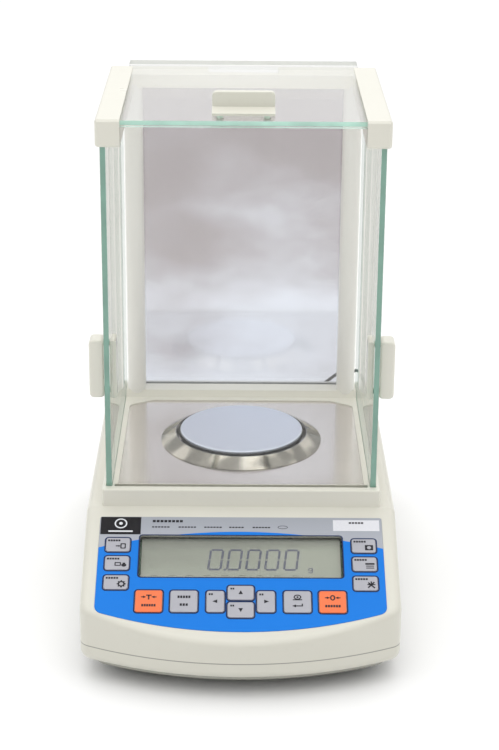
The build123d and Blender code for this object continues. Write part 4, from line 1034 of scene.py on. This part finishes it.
class BALANCE_OT_camera(bpy.types.Operator):
    """Set up the camera in front of the balance, a little above it"""

    bl_idname = "balance.camera"
    bl_label = "Camera"

    def execute(self, context):
        studio = context.scene.balance_studio
        data = bpy.data.cameras.new("camera")
        data.lens = studio.focal
        data.sensor_width = SENSOR_WIDTH
        camera = bpy.data.objects.new("camera", data)
        level = Vector((math.cos(studio.yaw), -math.sin(studio.yaw), 0.0))
        ahead = Vector((math.sin(studio.yaw) * math.cos(studio.pitch),
                        math.cos(studio.yaw) * math.cos(studio.pitch), -math.sin(studio.pitch)))
        above = level.cross(ahead)
        right = math.cos(studio.roll) * level + math.sin(studio.roll) * above
        up = math.cos(studio.roll) * above - math.sin(studio.roll) * level
        turn = Matrix((right, up, -ahead)).transposed().to_4x4()
        camera.matrix_world = Matrix.Translation(studio.place) @ turn
        context.scene.collection.objects.link(camera)
        context.scene.camera = camera
        return {"FINISHED"}


class BALANCE_OT_cord(bpy.types.Operator):
    """Lay the power cord from its plug to the coil and the adapter"""

    bl_idname = "balance.cord"
    bl_label = "Power cord"

    def execute(self, context):
        finish = context.scene.balance_finish
        cord = context.scene.balance_cord
        jacket = rubbery("cord_jacket", finish.jacket, 0.42)
        lead = make_cord_curve(cord, jacket)
        tie = make_tie(cord, rubbery("tie_strap", TIE_BLACK, 0.7))
        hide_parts("power_cord", "cord_coil")
        wear(rubbery("plug_moulding", finish.jacket, 0.36), "cord_plug")
        wear(moulded("adapter_case", ADAPTER_CASE, 0.45, grain=0.03), "power_adapter")
        make_adapter_label(ink_finish("adapter_plate", ADAPTER_PLATE),
                           ink_finish("adapter_rules", ADAPTER_RULES))
        return {"FINISHED"}


class BALANCE_OT_housing(bpy.types.Operator):
    """Finish the moulded housing, the shield frame, the rails and the grips"""

    bl_idname = "balance.housing"
    bl_label = "Housing and frame"

    def execute(self, context):
        finish = context.scene.balance_finish
        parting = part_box("lower_housing")[1].z
        body = moulded("ivory_housing", finish.ivory, 0.34, seam=parting)
        # Painted light: the shield frame, lid grip, rails and door grips wear a copy of the ivory
        # made 1.1 times brighter.
        painted_light_frame_plastic = moulded("ivory_frame", shade(finish.ivory, 1.1), 0.30)
        wear(body, "upper_housing", "lower_housing")
        wear(painted_light_frame_plastic, "shield_frame", "lid_grip", *RAILS)
        # Painted light: the rear crossbeam wears a copy of the ivory made 1.3 times brighter.
        wear(moulded("ivory_beam_painted_light", shade(finish.ivory, 1.3), 0.30), "rear_crossbeam")
        for side in SIDES:
            wear(painted_light_frame_plastic, f"{side}_door_outer_grip", f"{side}_door_inner_grip")
        wear(moulded("powder_coat", finish.column, 0.30, grain=0.03), "columns")
        return {"FINISHED"}


class BALANCE_OT_glass(bpy.types.Operator):
    """Finish the lid, the doors and the fixed panes"""

    bl_idname = "balance.glass"
    bl_label = "Glass"

    def execute(self, context):
        finish = context.scene.balance_finish
        for side in SIDES:
            door = pane_glass(f"{side}_door_pane", 0, finish.clear, finish.door_edge)
            wear(door, f"{side}_door_glass")
        wear(pane_glass("front_glass", 1, finish.clear, finish.lid_edge), "front_pane")
        rear = pane_glass("rear_glass", 1, finish.rear_glass, finish.lid_edge,
                          pale=REAR_GLASS_FOOT, mirror_floor=0.10)
        wear(rear, "rear_pane")
        lid = pane_glass("lid_pane", 2, finish.clear, finish.lid_edge, mirror_floor=0.10,
                         far_edge=LID_FAR_EDGE)
        wear(lid, "lid_glass")
        return {"FINISHED"}


class BALANCE_OT_metal(bpy.types.Operator):
    """Finish the pan, the wind ring, the chamber floor and the metal parts inside"""

    bl_idname = "balance.metal"
    bl_label = "Metal parts"

    def execute(self, context):
        finish = context.scene.balance_finish
        satin = turned_metal("satin_pan", "weighing_pan", finish.pan, 0.40, 0.35 * MM,
                             metallic=0.5)
        wear(satin, "weighing_pan")
        wear(polished_metal("polished_ring", finish.ring), "wind_ring")
        sheet = drawn_metal("floor_sheet", finish.floor_sheet, 0.16, (9.0, 700.0, 200.0),
                            depth=0.0006, metallic=0.8)
        wear(sheet, "floor_plate")
        wear(drawn_metal("plate_metal", finish.plate, 0.42, (900.0, 20.0, 20.0)), "base_plate")
        machined = drawn_metal("machined_metal", MACHINED_METAL, 0.38, (700.0, 20.0, 700.0))
        wear(machined, "cell_body", "cell_coil_beam", "pan_carrier")
        magnet = drawn_metal("magnet_metal", MAGNET_METAL, 0.35, (30.0, 30.0, 900.0))
        wear(magnet, "cell_magnet", "calibration_weight")
        zinc = drawn_metal("zinc_plate", ZINC, 0.34, (600.0, 600.0, 30.0))
        wear(zinc, "base_screws", "lid_screws", "left_door_screws", "right_door_screws")
        return {"FINISHED"}


class BALANCE_OT_panel_prints(bpy.types.Operator):
    """Finish the control foil and the keys, and print their legends"""

    bl_idname = "balance.panel_prints"
    bl_label = "Control foil and keys"

    def execute(self, context):
        finish = context.scene.balance_finish
        wear(foil_finish(finish.blue, finish.band), "control_overlay")
        grey = key_finish("grey_key", finish.key_grey)
        orange = key_finish("orange_key", finish.key_orange)
        for name in PANEL_KEYS:
            wear(orange if name.endswith("tare") else grey, name)
        print_key_outlines(ink_finish("outline_ink", finish.outline))
        ink = ink_finish("legend_ink", finish.ink)
        print_legends(ink)
        print_band(ink, ink_finish("badge_black", BADGE_BLACK, 0.3),
                   ink_finish("emblem_white", EMBLEM_WHITE),
                   ink_finish("label_pale", LABEL_PALE, 0.35))
        return {"FINISHED"}


class BALANCE_OT_display(bpy.types.Operator):
    """Finish the display and its lens, and set its reading"""

    bl_idname = "balance.display"
    bl_label = "Display"

    def execute(self, context):
        finish = context.scene.balance_finish
        wear(lcd_finish(finish.lcd), "lcd_module")
        wear(lens_finish(), "display_window")
        print_digits(ink_finish("digit_ink", finish.digit))
        print_status(ink_finish("status_ink", shade(finish.lcd, 0.78)))
        print_window_border(ink_finish("border_ink", finish.outline))
        return {"FINISHED"}


class BALANCE_OT_small_parts(bpy.types.Operator):
    """Finish the sockets, the bubble level, the boards and the feet"""

    bl_idname = "balance.small_parts"
    bl_label = "Sockets, level, boards and feet"

    def execute(self, context):
        wear(socket_finish(), "data_ports")
        make_socket_pins(drawn_metal("pin_gold", PIN_GOLD, 0.25, (500.0, 50.0, 500.0)),
                         drawn_metal("post_steel", POST_STEEL, 0.3, (500.0, 50.0, 500.0)))
        wear(rubbery("inlet_moulding", PORT_BLACK, 0.4), "power_inlet")
        wear(vial_finish(), "level_vial")
        wear(circuit_board("board_mask"), "key_board", "main_board")
        foot = rubbery("foot_rubber", FOOT_BLACK, 0.6)
        wear(foot, *[f"foot_{end}_{side}" for end in ("front", "rear") for side in SIDES])
        return {"FINISHED"}


FLOOR_HALF = 8.0            # half of the studio floor's side, in metres
FLOOR_DROP = 0.05 * MM      # the floor lies this far below the feet
SKY_DIM = (0.12, 0.12, 0.12)
SKY_BEHIND = 0.35           # how much brighter the sky grows toward the back
LIGHTS = (                  # name, place, aim, side and share of the key power
    ("overhead_light", (0.0, 0.15, 1.7), (0.0, 0.05, 0.0), 1.5, 1.0),
    ("left_light", (-1.5, -0.9, 1.1), (0.0, 0.0, 0.2), 0.7, 0.28),
    ("right_light", (1.6, -0.6, 1.0), (0.0, 0.0, 0.2), 0.7, 0.16),
)


class BALANCE_OT_studio(bpy.types.Operator):
    """Build the pale floor, the soft lights and the world"""

    bl_idname = "balance.studio"
    bl_label = "Studio"

    def execute(self, context):
        studio = context.scene.balance_studio
        self.floor(context.scene)
        for name, place, aim, side, share in LIGHTS:
            self.light(context.scene, name, place, aim, side, studio.key_power * share)
        self.sky(context.scene, studio.sky)
        context.scene.view_settings.view_transform = "Standard"
        return {"FINISHED"}

    def floor(self, scene):
        """Pale floor just below the feet."""
        s = Shader("studio_floor")
        cloud = s.noise(3.0, 2.0)
        surface = s.surface({
            "Base Color": s.mix(cloud, *STUDIO_WHITE),
            "Roughness": 0.9,
            "Specular IOR Level": 0.1,
        })
        mesh = bmesh.new()
        bmesh.ops.create_grid(mesh, x_segments=1, y_segments=1, size=FLOOR_HALF)
        data = bpy.data.meshes.new("studio_floor")
        mesh.to_mesh(data)
        mesh.free()
        data.materials.append(s.finish(surface))
        ground = bpy.data.objects.new("studio_floor", data)
        ground.location.z = -FLOOR_DROP
        scene.collection.objects.link(ground)

    def light(self, scene, name, place, aim, side, power):
        """Square soft light at a place, turned to a point."""
        data = bpy.data.lights.new(name, "AREA")
        data.shape = "SQUARE"
        data.size = side
        data.energy = power
        lamp = bpy.data.objects.new(name, data)
        lamp.location = place
        line = Vector(place) - Vector(aim)
        lamp.rotation_euler = line.to_track_quat("Z", "Y").to_euler()
        scene.collection.objects.link(lamp)

    def sky(self, scene, strength):
        """Sky that is dim at the front's horizon, and bright overhead and behind."""
        s = Shader("studio_sky", sky=True)
        _, y, z = s.xyz()
        height = z + SKY_BEHIND * y.math("MAXIMUM", y, 0.0)
        glow = s.mix(height.over(0.0, 0.85), SKY_DIM, WHITE)
        scene.world = s.finish(s.add("ShaderNodeBackground", sockets={
            "Color": glow, "Strength": strength}))


OPERATORS = (BALANCE_OT_camera, BALANCE_OT_cord, BALANCE_OT_housing, BALANCE_OT_glass,
             BALANCE_OT_metal, BALANCE_OT_panel_prints, BALANCE_OT_display,
             BALANCE_OT_small_parts, BALANCE_OT_studio)


class BALANCE_PT_sidebar(bpy.types.Panel):
    """Lists the balance's settings and steps"""

    bl_idname = "BALANCE_PT_sidebar"
    bl_label = "Analytical Balance"
    bl_space_type = "VIEW_3D"
    bl_region_type = "UI"
    bl_category = "Balance"

    def draw(self, context):
        for name in GROUPS:
            group = getattr(context.scene, name)
            box = self.layout.box()
            for key in group.__annotations__:
                box.prop(group, key)
        for operator in OPERATORS:
            self.layout.operator(operator.bl_idname)


GROUPS = {"balance_finish": BALANCE_PG_finish, "balance_cord": BALANCE_PG_cord,
          "balance_studio": BALANCE_PG_studio}


def register():
    for group in (*GROUPS.values(), *OPERATORS, BALANCE_PT_sidebar):
        bpy.utils.register_class(group)
    for name, group in GROUPS.items():
        setattr(bpy.types.Scene, name, bpy.props.PointerProperty(type=group))


def unregister():
    for name in GROUPS:
        delattr(bpy.types.Scene, name)
    for group in (BALANCE_PT_sidebar, *reversed(OPERATORS), *reversed(GROUPS.values())):
        bpy.utils.unregister_class(group)


def main():
    """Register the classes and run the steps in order."""
    register()
    for operator in OPERATORS:
        family, name = operator.bl_idname.split(".")
        getattr(getattr(bpy.ops, family), name)()


if __name__ == "__main__":
    main()
